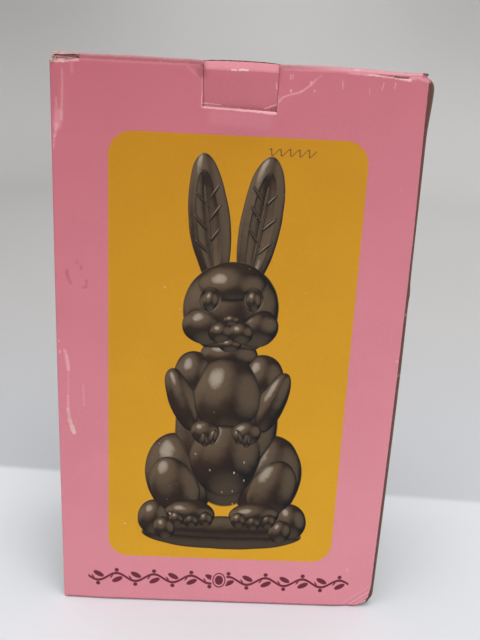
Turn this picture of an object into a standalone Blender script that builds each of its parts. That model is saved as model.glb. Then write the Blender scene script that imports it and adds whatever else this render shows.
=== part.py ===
"""A closed tuck-top carton of printed board, standing upright, as one solid with its creases as relief.

The front faces -Y, the lid is hinged at the back and its flap is tucked in behind the front panel.
A locking tab comes from the lid over the front's top edge and down into a slit in the front.
The origin is the middle of the base, and the units are metres.
"""

import math

import bmesh
import bpy
from mathutils import Matrix, Vector

MM = 0.001

# Outer sizes of the carton
WIDTH = 201 * MM
DEPTH = 120 * MM
HEIGHT = 334 * MM
BOARD = 1.6 * MM
HALF_WIDTH = WIDTH / 2
HALF_DEPTH = DEPTH / 2
FRONT = -HALF_DEPTH

# Radii of the folded creases, and the facets that round each of them
CORNER_RADIUS = 2.2 * MM
HINGE_RADIUS = 2.0 * MM
BASE_RADIUS = 1.4 * MM
CORNER_FACETS = 3
HINGE_FACETS = 3
BASE_FACETS = 2

# How far the panels and their upright creases swell, at most
SIDE_BOW = 2.6 * MM
FRONT_BOW = 0.8 * MM
BACK_BOW = 1.5 * MM
LID_BOW = 1.2 * MM
EDGE_BOW_LEFT = 0.5 * MM
EDGE_BOW_RIGHT = 1.0 * MM

# The side panels roll in to the dust flaps, just below the lid's raw edges
ROLL_RADIUS = 4.6 * MM
ROLL_DEPTH = 4.0 * MM
SEAM_HEIGHT = 0.3 * MM
LID_UNDERSIDE = HEIGHT - BOARD
SEAM_ROOT = LID_UNDERSIDE - SEAM_HEIGHT

# The lid's panel is a little narrower than the sleeve
LID_INSET = 1.0 * MM

# The right side stands out a little near its top
FLARE = 2.2 * MM
FLARE_PEAK = HEIGHT - 9 * MM
FLARE_BELOW = 26 * MM
FLARE_ABOVE = 7 * MM
FLARE_REACH = 50 * MM

# The lid's front crease, set back behind the front panel's top edge
CREASE_DROP = 2.1 * MM
CREASE_SETBACK = 0.6 * MM
CREASE_STEPS = 5

# The slits at both ends of the lid's front crease
SLIT_DEPTH = 4 * MM
SLIT_LEFT_END = -85 * MM
SLIT_LEFT_GAP = 2.0 * MM
SLIT_RIGHT_START = 80 * MM
SLIT_RIGHT_GAP = 0.9 * MM

# The locking tab: a slanting bend over the top edge, then a face that slopes in to its slit
TAB_LEFT = -20.0 * MM
TAB_RIGHT = 19.6 * MM
TAB_BEND_BACK = 1.4 * MM
TAB_BEND_DROP = 3.7 * MM
TAB_PROUD = 1.0 * MM
TAB_SUNK = 1.4 * MM
TAB_DROP = 22.6 * MM
TAB_PAD_DROP = 16 * MM
TAB_PAD_PROUD = 1.4 * MM
TAB_CUT = 0.4 * MM
TAB_CUT_DEPTH = 2.2 * MM
STEEP = 0.2 * MM

# The lip below the tab's slit bulges out, with a slanting top edge
LIP_BULGE = 1.3 * MM
LIP_CHAMFER = 1.6 * MM
LIP_HALF_WIDTH = 34 * MM
LIP_FADE = 24 * MM

# Soft creases beside the tab, left and right
DENT_WIDTH = 11 * MM
DENT_DROP = 9 * MM
DENT_DEPTH = 0.8 * MM
SLOPE_WIDTH = 21 * MM
SLOPE_DROP = 20 * MM
SLOPE_DEPTH = 0.6 * MM

# The front's upper left edge folds back along a slanting crease
FOLD_WIDTH = 6 * MM
FOLD_DROP = 48 * MM
FOLD_SLOPE = 0.22
FOLD_REACH = 15 * MM

# The crushed lower right corner of the front
CRUSH_WIDTH = 8 * MM
CRUSH_HEIGHT = 6 * MM
CRUSH_PUSH = Vector((-2.6 * MM, 1.8 * MM, 1.6 * MM))
CRUSH_REACH = 10 * MM
RIDGE_REACH = 26 * MM
RIDGE_PITCH = 10 * MM
RIDGE_HEIGHT = 0.4 * MM

# The joint where the board's ends meet, at the back's left edge
JOINT_WIDTH = 0.6 * MM
JOINT_DEPTH = 0.7 * MM
JOINT_INSET = 2.6 * MM

# The front flap's edge under the base
BASE_SEAM_WIDTH = 0.6 * MM
BASE_SEAM_DEPTH = 0.8 * MM
BASE_SEAM_INSET = 3.0 * MM
BASE_SEAM_MARGIN = 5.0 * MM

# Places where the block is divided, so that its panels can take their form
COLUMNS = [x * MM for x in (-97, -94, -90, -85, -76, -64, -51, -38, -30, -25, -10, 0, 10,
                            25, 30, 41, 54, 67, 75, 80, 84, 88, 91.5, 94.5, 97)]
ROWS = [z * MM for z in (2.6, 4.5, 7, 10, 14, 19, 26, 40, 62, 90, 120, 150, 180, 210, 238, 262, 280, 290)]
ROWS_BELOW_TOP = [z * MM for z in (36, 31, 27, 24.5, 22, 19, 13, 9, 6.6, 4.5, 3)]
SLICES = [y * MM for y in (-56, -52, -45, -30, -12, 12, 30, 45, 52)]

OVERRUN = 3 * MM
EPSILON = 0.01 * MM
WELD = 0.001 * MM
PINK = (0.56, 0.19, 0.23, 1.0)


def clear_scene():
    """Remove every object that the scene starts with."""
    for item in list(bpy.data.objects):
        bpy.data.objects.remove(item, do_unlink=True)


def new_collection(name):
    """A collection in the scene."""
    collection = bpy.data.collections.new(name)
    bpy.context.scene.collection.children.link(collection)
    return collection


def new_object(name, mesh, collection):
    """An object for a mesh, in a collection."""
    item = bpy.data.objects.new(name, mesh)
    collection.objects.link(item)
    return item


def board_material():
    """Pink printed board, with a slight sheen."""
    material = bpy.data.materials.new("printed_board")
    material.use_nodes = True
    shader = material.node_tree.nodes["Principled BSDF"]
    shader.inputs["Base Color"].default_value = PINK
    shader.inputs["Roughness"].default_value = 0.45
    shader.inputs["Metallic"].default_value = 0.0
    return material


def smooth(value):
    """Eased value between 0 and 1."""
    value = min(max(value, 0.0), 1.0)
    return value * value * (3 - 2 * value)


def panel_bow(p):
    """The panels swell between their creases, and the upright creases bow with them."""
    up = math.sin(math.pi * p.z / HEIGHT)
    across = math.cos(math.pi * p.x / WIDTH)
    deep = math.cos(math.pi * p.y / DEPTH)
    edge = EDGE_BOW_RIGHT if p.x > 0 else EDGE_BOW_LEFT
    face = BACK_BOW if p.y > 0 else FRONT_BOW
    lift = LID_BOW * across * deep if p.z > HEIGHT - EPSILON else 0.0
    return Vector((
        p.x / HALF_WIDTH * up * (edge + (SIDE_BOW - edge) * deep),
        p.y / HALF_DEPTH * up * face * across,
        lift,
    ))


def side_share(p):
    """How far a point belongs to a side panel: 0 on the front or back, 1 past the crease."""
    return smooth((abs(p.x) - HALF_WIDTH + CORNER_RADIUS) / CORNER_RADIUS)


def lid_inset(p):
    """The lid's side edges lie just inside the side panels."""
    if p.z < LID_UNDERSIDE - EPSILON:
        return Vector()
    return Vector((-math.copysign(LID_INSET, p.x) * side_share(p), 0, 0))


def side_roll(p):
    """Each side panel rolls in below the lid's raw edge."""
    if p.z > LID_UNDERSIDE - EPSILON or p.z < HEIGHT - CREASE_DROP - ROLL_RADIUS:
        return Vector()
    rise = p.z - (HEIGHT - CREASE_DROP - ROLL_RADIUS)
    roll = ROLL_RADIUS - math.sqrt(max(ROLL_RADIUS ** 2 - rise ** 2, 0.0))
    inward = -math.copysign(min(roll, ROLL_DEPTH), p.x)
    return Vector((inward * side_share(p), 0, 0))


def side_flare(p):
    """The right side's top stands out, most of all near the front."""
    if p.x < 0 or p.z > LID_UNDERSIDE - EPSILON:
        return Vector()
    span = FLARE_ABOVE if p.z > FLARE_PEAK else FLARE_BELOW
    up = smooth(1 - abs(p.z - FLARE_PEAK) / span)
    deep = smooth(1 - (p.y - FRONT) / FLARE_REACH)
    return Vector((FLARE * up * deep * side_share(p), 0, 0))


def tab_pad(p):
    """A raised pad on the front, out of which the locking tab is cut."""
    on_front = p.y < FRONT + EPSILON
    in_width = TAB_LEFT - EPSILON < p.x < TAB_RIGHT + EPSILON
    in_height = p.z > HEIGHT - TAB_PAD_DROP - EPSILON
    return Vector((0, -TAB_PAD_PROUD if on_front and in_width and in_height else 0, 0))


def lip_bulge(p):
    """The front bulges below the tab's slit."""
    drop = HEIGHT - p.z - TAB_DROP
    if p.y > FRONT + EPSILON or drop < -EPSILON:
        return Vector()
    across = smooth(1 - abs(p.x) / LIP_HALF_WIDTH)
    down = smooth(1 - drop / LIP_FADE)
    return Vector((0, -LIP_BULGE * across * down, 0))


def tab_shoulders(p):
    """Beside the tab the front's corners sink: a small dent on the left, a long slope on the right."""
    if p.y > FRONT + EPSILON:
        return Vector()
    drop = HEIGHT - p.z
    left = 1 - (TAB_LEFT - p.x) / DENT_WIDTH - drop / DENT_DROP
    right = 1 - (p.x - TAB_RIGHT) / SLOPE_WIDTH - drop / SLOPE_DROP
    if p.x < TAB_LEFT - EPSILON:
        return Vector((0, DENT_DEPTH * smooth(left), 0))
    if p.x > TAB_RIGHT + EPSILON:
        return Vector((0, SLOPE_DEPTH * smooth(right), 0))
    return Vector()


def corner_fold(p):
    """The front's left edge turns back beyond a crease that slants down to the corner."""
    drop = (HEIGHT - p.z) / FOLD_DROP
    crease = -HALF_WIDTH + FOLD_WIDTH * (1 - drop)
    reach = smooth(1 - (p.y - FRONT) / FOLD_REACH)
    return Vector((0, FOLD_SLOPE * max(crease - p.x, 0.0) * reach, 0))


def corner_crush(p):
    """The lower right corner is pushed in, with slanting ridges above it."""
    near = smooth(1 - (p.y - FRONT) / CRUSH_REACH)
    from_corner = Vector((HALF_WIDTH - p.x, p.z))
    push = smooth(1 - from_corner.x / CRUSH_WIDTH - from_corner.y / CRUSH_HEIGHT)
    reach = (from_corner.x + from_corner.y) / RIDGE_REACH
    wave = math.sin(2 * math.pi * (from_corner.x + from_corner.y) / RIDGE_PITCH)
    on_front = 1.0 if p.y < FRONT + EPSILON else 0.0
    ridge = -RIDGE_HEIGHT * wave * smooth(1 - reach) * on_front
    return CRUSH_PUSH * push * near + Vector((0, ridge, 0))


FORMS = (panel_bow, lid_inset, side_roll, side_flare, tab_pad, lip_bulge, tab_shoulders,
         corner_fold, corner_crush)


def formed(point):
    """Where a point of the plain block ends up on the real carton."""
    moves = [form(point) for form in FORMS]
    return point + sum(moves, Vector())


def bevel_where(bm, wanted, radius, facets):
    """Round the edges that a test picks."""
    edges = [edge for edge in bm.edges if wanted(edge)]
    bmesh.ops.bevel(bm, geom=edges, offset=radius, offset_type="OFFSET", affect="EDGES",
                    segments=facets, profile=0.5, material=-1)


def runs_along(edge, axis):
    """Whether an edge is parallel to an axis."""
    run = edge.verts[1].co - edge.verts[0].co
    return abs(run[axis]) > run.length - EPSILON


def both_ends(edge, axis, place):
    """Whether an edge lies at a place along an axis."""
    return all(abs(vert.co[axis] - place) < EPSILON for vert in edge.verts)


def divide(bm, axis, places):
    """Cut the block's faces at each place along an axis."""
    normal = Vector((0, 0, 0))
    normal[axis] = 1
    for place in places:
        parts = bm.verts[:] + bm.edges[:] + bm.faces[:]
        bmesh.ops.bisect_plane(bm, geom=parts, plane_co=normal * place, plane_no=normal, dist=WELD)


def carton_block(collection):
    """The carton's block with rounded creases, divided and then given its form."""
    bm = bmesh.new()
    bmesh.ops.create_cube(bm, size=1, matrix=Matrix.Translation((0, 0, HEIGHT / 2))
                          @ Matrix.Diagonal((WIDTH, DEPTH, HEIGHT, 1)))
    bevel_where(bm, lambda edge: runs_along(edge, 2), CORNER_RADIUS, CORNER_FACETS)
    bevel_where(bm, lambda edge: both_ends(edge, 2, 0), BASE_RADIUS, BASE_FACETS)
    bevel_where(bm, lambda edge: runs_along(edge, 0) and both_ends(edge, 1, HALF_DEPTH)
                and both_ends(edge, 2, HEIGHT), HINGE_RADIUS, HINGE_FACETS)
    tab_sides = [TAB_LEFT - STEEP, TAB_LEFT, TAB_RIGHT, TAB_RIGHT + STEEP]
    pad_ends = [HEIGHT - TAB_PAD_DROP - STEEP, HEIGHT - TAB_PAD_DROP]
    divide(bm, 0, COLUMNS + tab_sides)
    divide(bm, 1, SLICES)
    divide(bm, 2, ROWS + [HEIGHT - drop for drop in ROWS_BELOW_TOP] + pad_ends + [SEAM_ROOT, LID_UNDERSIDE])
    bmesh.ops.triangulate(bm, faces=bm.faces[:])
    for vert in bm.verts:
        vert.co = formed(vert.co.copy())
    bmesh.ops.recalc_face_normals(bm, faces=bm.faces[:])
    mesh = bpy.data.meshes.new("carton")
    bm.to_mesh(mesh)
    bm.free()
    return new_object("carton", mesh, collection)


def box_cutter(name, low, high, collection):
    """A box that removes board."""
    low, high = Vector(low), Vector(high)
    bpy.ops.mesh.primitive_cube_add(size=1, location=(low + high) / 2)
    made = bpy.context.active_object
    made.data.transform(Matrix.Diagonal((*(high - low), 1)))
    made.name = name
    return as_cutter(made, collection)


def prism_cutter(name, outline, x_low, x_high, collection):
    """A prism along X that removes board, from an outline of (y, z) points."""
    curve = bpy.data.curves.new(name, "CURVE")
    curve.dimensions = "2D"
    curve.fill_mode = "BOTH"
    curve.extrude = (x_high - x_low) / 2
    spline = curve.splines.new("POLY")
    spline.points.add(len(outline) - 1)
    for point, (y, z) in zip(spline.points, outline):
        point.co = (y, z, 0, 1)
    spline.use_cyclic_u = True
    drawn = new_object(name + "_outline", curve, collection)
    drawn.location.x = (x_low + x_high) / 2
    drawn.rotation_euler = (math.pi / 2, 0, math.pi / 2)
    bpy.context.view_layer.update()
    solid = drawn.evaluated_get(bpy.context.evaluated_depsgraph_get())
    mesh = bpy.data.meshes.new_from_object(solid)
    place = drawn.matrix_world.copy()
    bpy.data.objects.remove(drawn, do_unlink=True)
    bm = bmesh.new()
    bm.from_mesh(mesh)
    bmesh.ops.remove_doubles(bm, verts=bm.verts[:], dist=WELD)
    bmesh.ops.recalc_face_normals(bm, faces=bm.faces[:])
    bm.to_mesh(mesh)
    bm.free()
    made = new_object(name, mesh, collection)
    made.matrix_world = place
    return as_cutter(made, collection)


def as_cutter(item, collection):
    """Show an object as a guide only, in the cutters' collection."""
    for owner in list(item.users_collection):
        owner.objects.unlink(item)
    collection.objects.link(item)
    item.hide_render = True
    item.display_type = "WIRE"
    return item


def crease_outline():
    """What lies outside the lid's rounded front crease and above the front panel's raw edge."""
    back = FRONT + CREASE_SETBACK + CREASE_DROP
    arc = []
    for step in range(CREASE_STEPS + 1):
        angle = math.pi / 2 * step / CREASE_STEPS
        arc.append((back - CREASE_DROP * math.cos(angle), HEIGHT - CREASE_DROP * (1 - math.sin(angle))))
    above = HEIGHT + OVERRUN
    return arc + [(back, above), (FRONT - OVERRUN, above), (FRONT - OVERRUN, HEIGHT - CREASE_DROP)]


def tab_outline():
    """What lies outside the tab's bend, its sloping face and the slanting lip below its slit."""
    outside = FRONT - OVERRUN
    slit = HEIGHT - TAB_DROP
    return [
        (FRONT + TAB_BEND_BACK, HEIGHT + OVERRUN),
        (FRONT + TAB_BEND_BACK, HEIGHT),
        (FRONT - TAB_PROUD, HEIGHT - TAB_BEND_DROP),
        (FRONT + TAB_SUNK, slit),
        (FRONT + TAB_SUNK - BOARD / 2, slit),
        (outside, slit - LIP_CHAMFER),
        (outside, HEIGHT + OVERRUN),
    ]


def cut(carton, cutters):
    """Take each cutter out of the carton, one after another."""
    for cutter in cutters:
        step = carton.modifiers.new(cutter.name, "BOOLEAN")
        step.operation = "DIFFERENCE"
        step.solver = "EXACT"
        step.object = cutter


def crease_cutters(collection):
    """The lid's front crease on both sides of the tab."""
    left = prism_cutter("crease_left", crease_outline(), SLIT_LEFT_END, TAB_LEFT - TAB_CUT, collection)
    right = prism_cutter("crease_right", crease_outline(), TAB_RIGHT + TAB_CUT, SLIT_RIGHT_START, collection)
    return [left, right]


def slit_cutters(collection):
    """The gaps under the lid's edge at both ends of its crease."""
    out, back = FRONT - OVERRUN, FRONT + SLIT_DEPTH
    top = HEIGHT - CREASE_DROP + EPSILON
    left = box_cutter("slit_left", (-HALF_WIDTH - OVERRUN, out, top - SLIT_LEFT_GAP),
                      (SLIT_LEFT_END, back, top), collection)
    right = box_cutter("slit_right", (SLIT_RIGHT_START, out, top - SLIT_RIGHT_GAP),
                       (HALF_WIDTH + OVERRUN, back, top), collection)
    return [left, right]


def tab_cutters(collection):
    """The tab's face, and the fine cuts along its sides."""
    cutters = [prism_cutter("tab_face", tab_outline(), TAB_LEFT - TAB_CUT, TAB_RIGHT + TAB_CUT, collection)]
    low_z = HEIGHT - TAB_DROP + STEEP
    high_z = HEIGHT + OVERRUN
    out, back = FRONT - OVERRUN, FRONT + TAB_CUT_DEPTH
    for name, side in (("tab_cut_left", TAB_LEFT - TAB_CUT), ("tab_cut_right", TAB_RIGHT)):
        cutters.append(box_cutter(name, (side, out, low_z), (side + TAB_CUT, back, high_z), collection))
    return cutters


def seam_cutters(collection):
    """The board's joint down the back, and the tucked flap's edge under the base."""
    joint_x = -HALF_WIDTH + JOINT_INSET
    joint = box_cutter("joint", (joint_x, HALF_DEPTH - JOINT_DEPTH, -OVERRUN),
                       (joint_x + JOINT_WIDTH, HALF_DEPTH + OVERRUN, HEIGHT - HINGE_RADIUS - OVERRUN), collection)
    base_y = FRONT + BASE_SEAM_INSET
    side = HALF_WIDTH - BASE_SEAM_MARGIN
    base = box_cutter("base_seam", (-side, base_y, -OVERRUN),
                      (side, base_y + BASE_SEAM_WIDTH, BASE_SEAM_DEPTH), collection)
    return [joint, base]


def main():
    """Build the carton."""
    clear_scene()
    parts = new_collection("closed_carton")
    guides = new_collection("cutters")
    carton = carton_block(parts)
    carton.data.materials.append(board_material())
    cutters = crease_cutters(guides) + slit_cutters(guides) + tab_cutters(guides) + seam_cutters(guides)
    cut(carton, cutters)


main()
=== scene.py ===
"""Dresses the closed tuck-top carton: printed board, raw edges, creases and wear, in a pale studio.

The front faces -Y and +Z is up the carton, in metres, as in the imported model.
"""

import logging
import math
import random
from dataclasses import dataclass
from enum import Enum
from typing import Callable, Iterable, Sequence, Union

import bmesh
import bpy
from mathutils import Euler, Matrix, Vector


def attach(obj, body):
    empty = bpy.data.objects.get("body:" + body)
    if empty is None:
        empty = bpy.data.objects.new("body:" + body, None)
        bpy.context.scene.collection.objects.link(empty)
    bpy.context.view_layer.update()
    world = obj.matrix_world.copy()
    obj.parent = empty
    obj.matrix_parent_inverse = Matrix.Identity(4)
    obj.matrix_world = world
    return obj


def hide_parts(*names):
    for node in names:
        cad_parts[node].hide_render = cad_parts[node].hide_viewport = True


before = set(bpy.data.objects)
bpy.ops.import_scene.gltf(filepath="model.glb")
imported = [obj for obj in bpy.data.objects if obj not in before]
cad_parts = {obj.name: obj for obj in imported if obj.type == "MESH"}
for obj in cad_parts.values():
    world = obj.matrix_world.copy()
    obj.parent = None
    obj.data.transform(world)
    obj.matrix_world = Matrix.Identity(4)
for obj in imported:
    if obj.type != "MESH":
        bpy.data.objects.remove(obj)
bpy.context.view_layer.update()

MM = 0.001
EPSILON = 0.01 * MM
WELD = 0.001 * MM
NODE = "carton"
BODY = "root"

Colour = tuple[float, float, float]
Point2 = tuple[float, float]

logging.basicConfig(level=logging.INFO, format="%(message)s")
LOG = logging.getLogger("carton")


class Axis(Enum):
    """The three directions, by their place in a vector."""

    X = 0
    Y = 1
    Z = 2


class Side(Enum):
    """Whether a closing panel is at the top or at the base."""

    TOP = 1
    BASE = -1


@dataclass(frozen=True)
class CartonSizes:
    """Outer sizes of the carton, in metres, with its creases' radii."""

    width: float = 201 * MM
    depth: float = 120 * MM
    height: float = 334 * MM
    board: float = 1.6 * MM
    corner_radius: float = 2.2 * MM
    hinge_radius: float = 2.0 * MM
    base_radius: float = 1.4 * MM
    crease_drop: float = 2.1 * MM
    crease_setback: float = 0.6 * MM
    lid_inset: float = 1.0 * MM
    slit_left_end: float = -85 * MM
    slit_right_start: float = 82.5 * MM
    tab_left: float = -20.0 * MM
    tab_right: float = 19.2 * MM
    tab_gap: float = 0.1 * MM
    tab_drop: float = 22.6 * MM

    @property
    def half_width(self) -> float:
        """Half the width of the front."""
        return self.width / 2

    @property
    def half_depth(self) -> float:
        """Half the depth."""
        return self.depth / 2

    @property
    def front(self) -> float:
        """Where the front panel lies along Y."""
        return -self.depth / 2


SIZES = CartonSizes()


def clamp(value: float) -> float:
    """The value, kept between 0 and 1."""
    return min(max(value, 0.0), 1.0)


def smooth(value: float) -> float:
    """Eased value between 0 and 1."""
    value = clamp(value)
    return value * value * (3 - 2 * value)


def spaced(low: float, high: float, step: float) -> list[float]:
    """Even places between two ends.

    Args:
        low: The lower end, which is left out.
        high: The upper end, which is left out.
        step: About how far apart the places are.

    Returns:
        The places in rising order.
    """
    count = max(round((high - low) / step), 1)
    return [low + (high - low) * index / count for index in range(1, count)]


LID_CREST = ((-99.5, 1.45), (-90, 1.2), (-80, 0.9), (-58.6, 1.1), (-37, 0.85), (-26, 0.8), (-20, 0.25),
             (-10, 0.65), (0, 0.78), (10, 0.65), (19, 0.2), (31, 0.5), (52, 0.5), (74, -0.2), (84.5, -0.75),
             (99.5, -0.4))


@dataclass(frozen=True)
class PanelForm:
    """How the board departs from a plain block: bows, rolled edges, dents and the crushed corner."""

    side_bow: float = 2.6 * MM
    front_bow: float = 0.8 * MM
    back_bow: float = 1.5 * MM
    lid_bow: float = 1.2 * MM
    edge_bow_left: float = 0.5 * MM
    edge_bow_right: float = 1.0 * MM
    roll_radius: float = 4.6 * MM
    roll_depth: float = 4.0 * MM
    flare: float = 1.4 * MM
    flare_peak: float = 9 * MM
    flare_below: float = 26 * MM
    flare_above: float = 7 * MM
    flare_reach: float = 50 * MM
    lip_bulge: float = 1.3 * MM
    lip_half_width: float = 34 * MM
    lip_fade: float = 24 * MM
    lip_rise: float = 12 * MM
    dent_width: float = 11 * MM
    dent_drop: float = 9 * MM
    dent_depth: float = 1.2 * MM
    slope_width: float = 21 * MM
    slope_drop: float = 20 * MM
    slope_depth: float = 0.8 * MM
    fold_width: float = 6 * MM
    fold_drop: float = 48 * MM
    fold_slope: float = 0.22
    fold_spread: float = 0.08
    fold_reach: float = 15 * MM
    belly: float = 0.6 * MM
    belly_top: float = 250 * MM
    belly_fade: float = 90 * MM
    bump: float = 0.45 * MM
    bump_level: float = 213 * MM
    bump_reach: float = 8 * MM
    tuck_level: float = 330.1 * MM
    tuck_rise: float = 1.6 * MM
    tuck_depth: float = 1.7 * MM
    tuck_width: float = 8.0 * MM
    tuck_reach: float = 16 * MM
    crest_reach: float = 40 * MM
    crush_width: float = 8 * MM
    crush_height: float = 6 * MM
    crush_push: tuple[float, float, float] = (-0.6 * MM, 1.2 * MM, 0.0)
    crush_rise: float = 4.1 * MM
    crush_rise_width: float = 12 * MM
    crush_rise_height: float = 16 * MM
    crush_reach: float = 12 * MM
    ridge_reach: float = 26 * MM
    ridge_pitch: float = 10 * MM
    ridge_height: float = 0.4 * MM

    def bowed(self, p: Vector) -> Vector:
        """How far the panels and their upright creases swell at a point."""
        up = math.sin(math.pi * clamp(p.z / SIZES.height))
        across = math.cos(math.pi * p.x / SIZES.width)
        deep = math.cos(math.pi * p.y / SIZES.depth)
        edge = self.edge_bow_right if p.x > 0 else self.edge_bow_left
        face = self.back_bow if p.y > 0 else self.front_bow
        return Vector((
            p.x / SIZES.half_width * up * (edge + (self.side_bow - edge) * deep),
            p.y / SIZES.half_depth * up * face * across,
            0.0,
        ))

    def lid_lift(self, p: Vector) -> Vector:
        """How far the lid's panel swells upwards at a point."""
        across = math.cos(math.pi * p.x / SIZES.width)
        deep = math.cos(math.pi * p.y / SIZES.depth)
        return Vector((0, 0, self.lid_bow * max(across, 0.0) * max(deep, 0.0)))

    def crest(self, p: Vector) -> float:
        """How far the lid's front crease rises or sinks at a point: highest at its left end."""
        reach = smooth(1 - (p.y - SIZES.front) / self.crest_reach)
        x = p.x / MM
        for (low, low_rise), (high, high_rise) in zip(LID_CREST, LID_CREST[1:]):
            if x <= high:
                share = clamp((x - low) / (high - low))
                return (low_rise + (high_rise - low_rise) * share) * MM * reach
        return LID_CREST[-1][1] * MM * reach

    def side_share(self, p: Vector) -> float:
        """How far a point belongs to a side panel: 0 on the front or back, 1 past the crease."""
        return smooth((abs(p.x) - SIZES.half_width + SIZES.corner_radius) / SIZES.corner_radius)

    def rolled(self, p: Vector) -> Vector:
        """Each side panel rolls in below the lid's raw edge."""
        start = SIZES.height - SIZES.crease_drop - self.roll_radius
        if p.z < start:
            return Vector()
        rise = p.z - start
        roll = self.roll_radius - math.sqrt(max(self.roll_radius ** 2 - rise ** 2, 0.0))
        return Vector((-math.copysign(min(roll, self.roll_depth), p.x) * self.side_share(p), 0, 0))

    def flared(self, p: Vector) -> Vector:
        """The right side's top stands out, most of all near the front."""
        if p.x < 0:
            return Vector()
        peak = SIZES.height - self.flare_peak
        span = self.flare_above if p.z > peak else self.flare_below
        up = smooth(1 - abs(p.z - peak) / span)
        deep = smooth(1 - (p.y - SIZES.front) / self.flare_reach)
        belly = self.belly * smooth((self.belly_top - p.z) / self.belly_fade) * smooth(p.z / (10 * MM)) * deep
        bump = self.bump * smooth(1 - abs(p.z - self.bump_level) / self.bump_reach) * deep
        return Vector(((self.flare * up * deep + belly + bump) * self.side_share(p), 0, 0))

    def tucked(self, p: Vector) -> Vector:
        """The front's upper right corner is bent in under the lid's end."""
        up = smooth((p.z - self.tuck_level) / self.tuck_rise)
        out = smooth((p.x - SIZES.half_width + self.tuck_width) / self.tuck_width)
        near = smooth(1 - (p.y - SIZES.front) / self.tuck_reach)
        return Vector((-self.tuck_depth * up * out * near, 0, 0))

    def lip(self, p: Vector) -> Vector:
        """The front bulges below the tab's slit, and the bulge runs out beside the tab."""
        drop = SIZES.height - p.z - SIZES.tab_drop
        across = smooth(1 - abs(p.x) / self.lip_half_width)
        inside = SIZES.tab_left - SIZES.tab_gap < p.x < SIZES.tab_right + SIZES.tab_gap
        if drop < 0:
            down = 0.0 if inside else smooth(1 + drop / self.lip_rise)
        else:
            down = smooth(1 - drop / self.lip_fade)
        return Vector((0, -self.lip_bulge * across * down, 0))

    def shoulders(self, p: Vector) -> Vector:
        """Beside the tab the front sinks: a small dent on the left, a flat slope on the right."""
        drop = SIZES.height - p.z
        if p.x < SIZES.tab_left:
            left = 1 - (SIZES.tab_left - p.x) / self.dent_width - drop / self.dent_drop
            return Vector((0, self.dent_depth * smooth(left), 0))
        if p.x > SIZES.tab_right:
            right = 1 - (p.x - SIZES.tab_right) / self.slope_width - drop / self.slope_drop
            return Vector((0, self.slope_depth * clamp(right), 0))
        return Vector()

    def folded(self, p: Vector) -> Vector:
        """The front's left edge turns back beyond a crease that slants down to the corner."""
        drop = (SIZES.height - p.z) / self.fold_drop
        crease = -SIZES.half_width + self.fold_width * (1 - drop)
        reach = smooth(1 - (p.y - SIZES.front) / self.fold_reach)
        past = max(crease - p.x, 0.0) * reach
        return Vector((self.fold_spread * -past, self.fold_slope * past, 0))

    def crushed(self, p: Vector) -> Vector:
        """The lower right corner is pushed in, with slanting ridges above it."""
        near = smooth(1 - (p.y - SIZES.front) / self.crush_reach)
        out = SIZES.half_width - p.x
        push = smooth(1 - out / self.crush_width - p.z / self.crush_height)
        rise = self.crush_rise * clamp(1 - out / self.crush_rise_width) ** 1.6
        rise *= smooth(1 - p.z / self.crush_rise_height)
        wave = math.sin(2 * math.pi * (out + p.z) / self.ridge_pitch)
        fade = smooth(1 - (out + p.z) / self.ridge_reach)
        ridge = -self.ridge_height * wave * fade if p.y < SIZES.front + EPSILON else 0.0
        return Vector(self.crush_push) * push * near + Vector((0, ridge, rise * near))


FORM = PanelForm()


SHARP_ANGLE = math.radians(38)


@dataclass(frozen=True)
class BoardFinishes:
    """The materials of a piece of board."""

    face: bpy.types.Material
    edge: bpy.types.Material
    inner: bpy.types.Material

    def slots(self) -> list[bpy.types.Material]:
        """The materials in the order of the piece's slots: face, raw edge, inner face."""
        return [self.face, self.edge, self.inner]


def divide(bm: bmesh.types.BMesh, axis: Axis, places: Iterable[float],
           keep: Callable[[Vector], bool] = lambda centre: True) -> None:
    """Cut faces at each place along an axis.

    Args:
        bm: The mesh to cut.
        axis: The direction across the cuts.
        places: Where the cuts lie along that direction.
        keep: Whether a face with this centre is cut.
    """
    normal = Vector((0, 0, 0))
    normal[axis.value] = 1
    for place in places:
        faces = [part for part in bm.faces if keep(part.calc_center_median())]
        edges = list(dict.fromkeys(edge for part in faces for edge in part.edges))
        verts = list(dict.fromkeys(vert for part in faces for vert in part.verts))
        bmesh.ops.bisect_plane(bm, geom=verts + edges + faces, plane_co=normal * place,
                               plane_no=normal, dist=WELD)


def open_edges(bm: bmesh.types.BMesh, wanted: Callable[[Vector], bool]) -> list[bmesh.types.BMEdge]:
    """The boundary edges whose two ends both pass a test."""
    return [edge for edge in bm.edges if edge.is_boundary and all(wanted(vert.co) for vert in edge.verts)]


def pull(bm: bmesh.types.BMesh, edges: Sequence[bmesh.types.BMEdge],
         move: Vector) -> list[bmesh.types.BMEdge]:
    """Extrude open edges.

    Args:
        bm: The mesh that has the edges.
        edges: The edges to extrude.
        move: How far the new edges lie from them.

    Returns:
        The new open edges.
    """
    made = bmesh.ops.extrude_edge_only(bm, edges=list(edges))["geom"]
    verts = [part for part in made if isinstance(part, bmesh.types.BMVert)]
    bmesh.ops.translate(bm, verts=verts, vec=move)
    fresh = set(verts)
    return [part for part in made if isinstance(part, bmesh.types.BMEdge) and set(part.verts) <= fresh]


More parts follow.
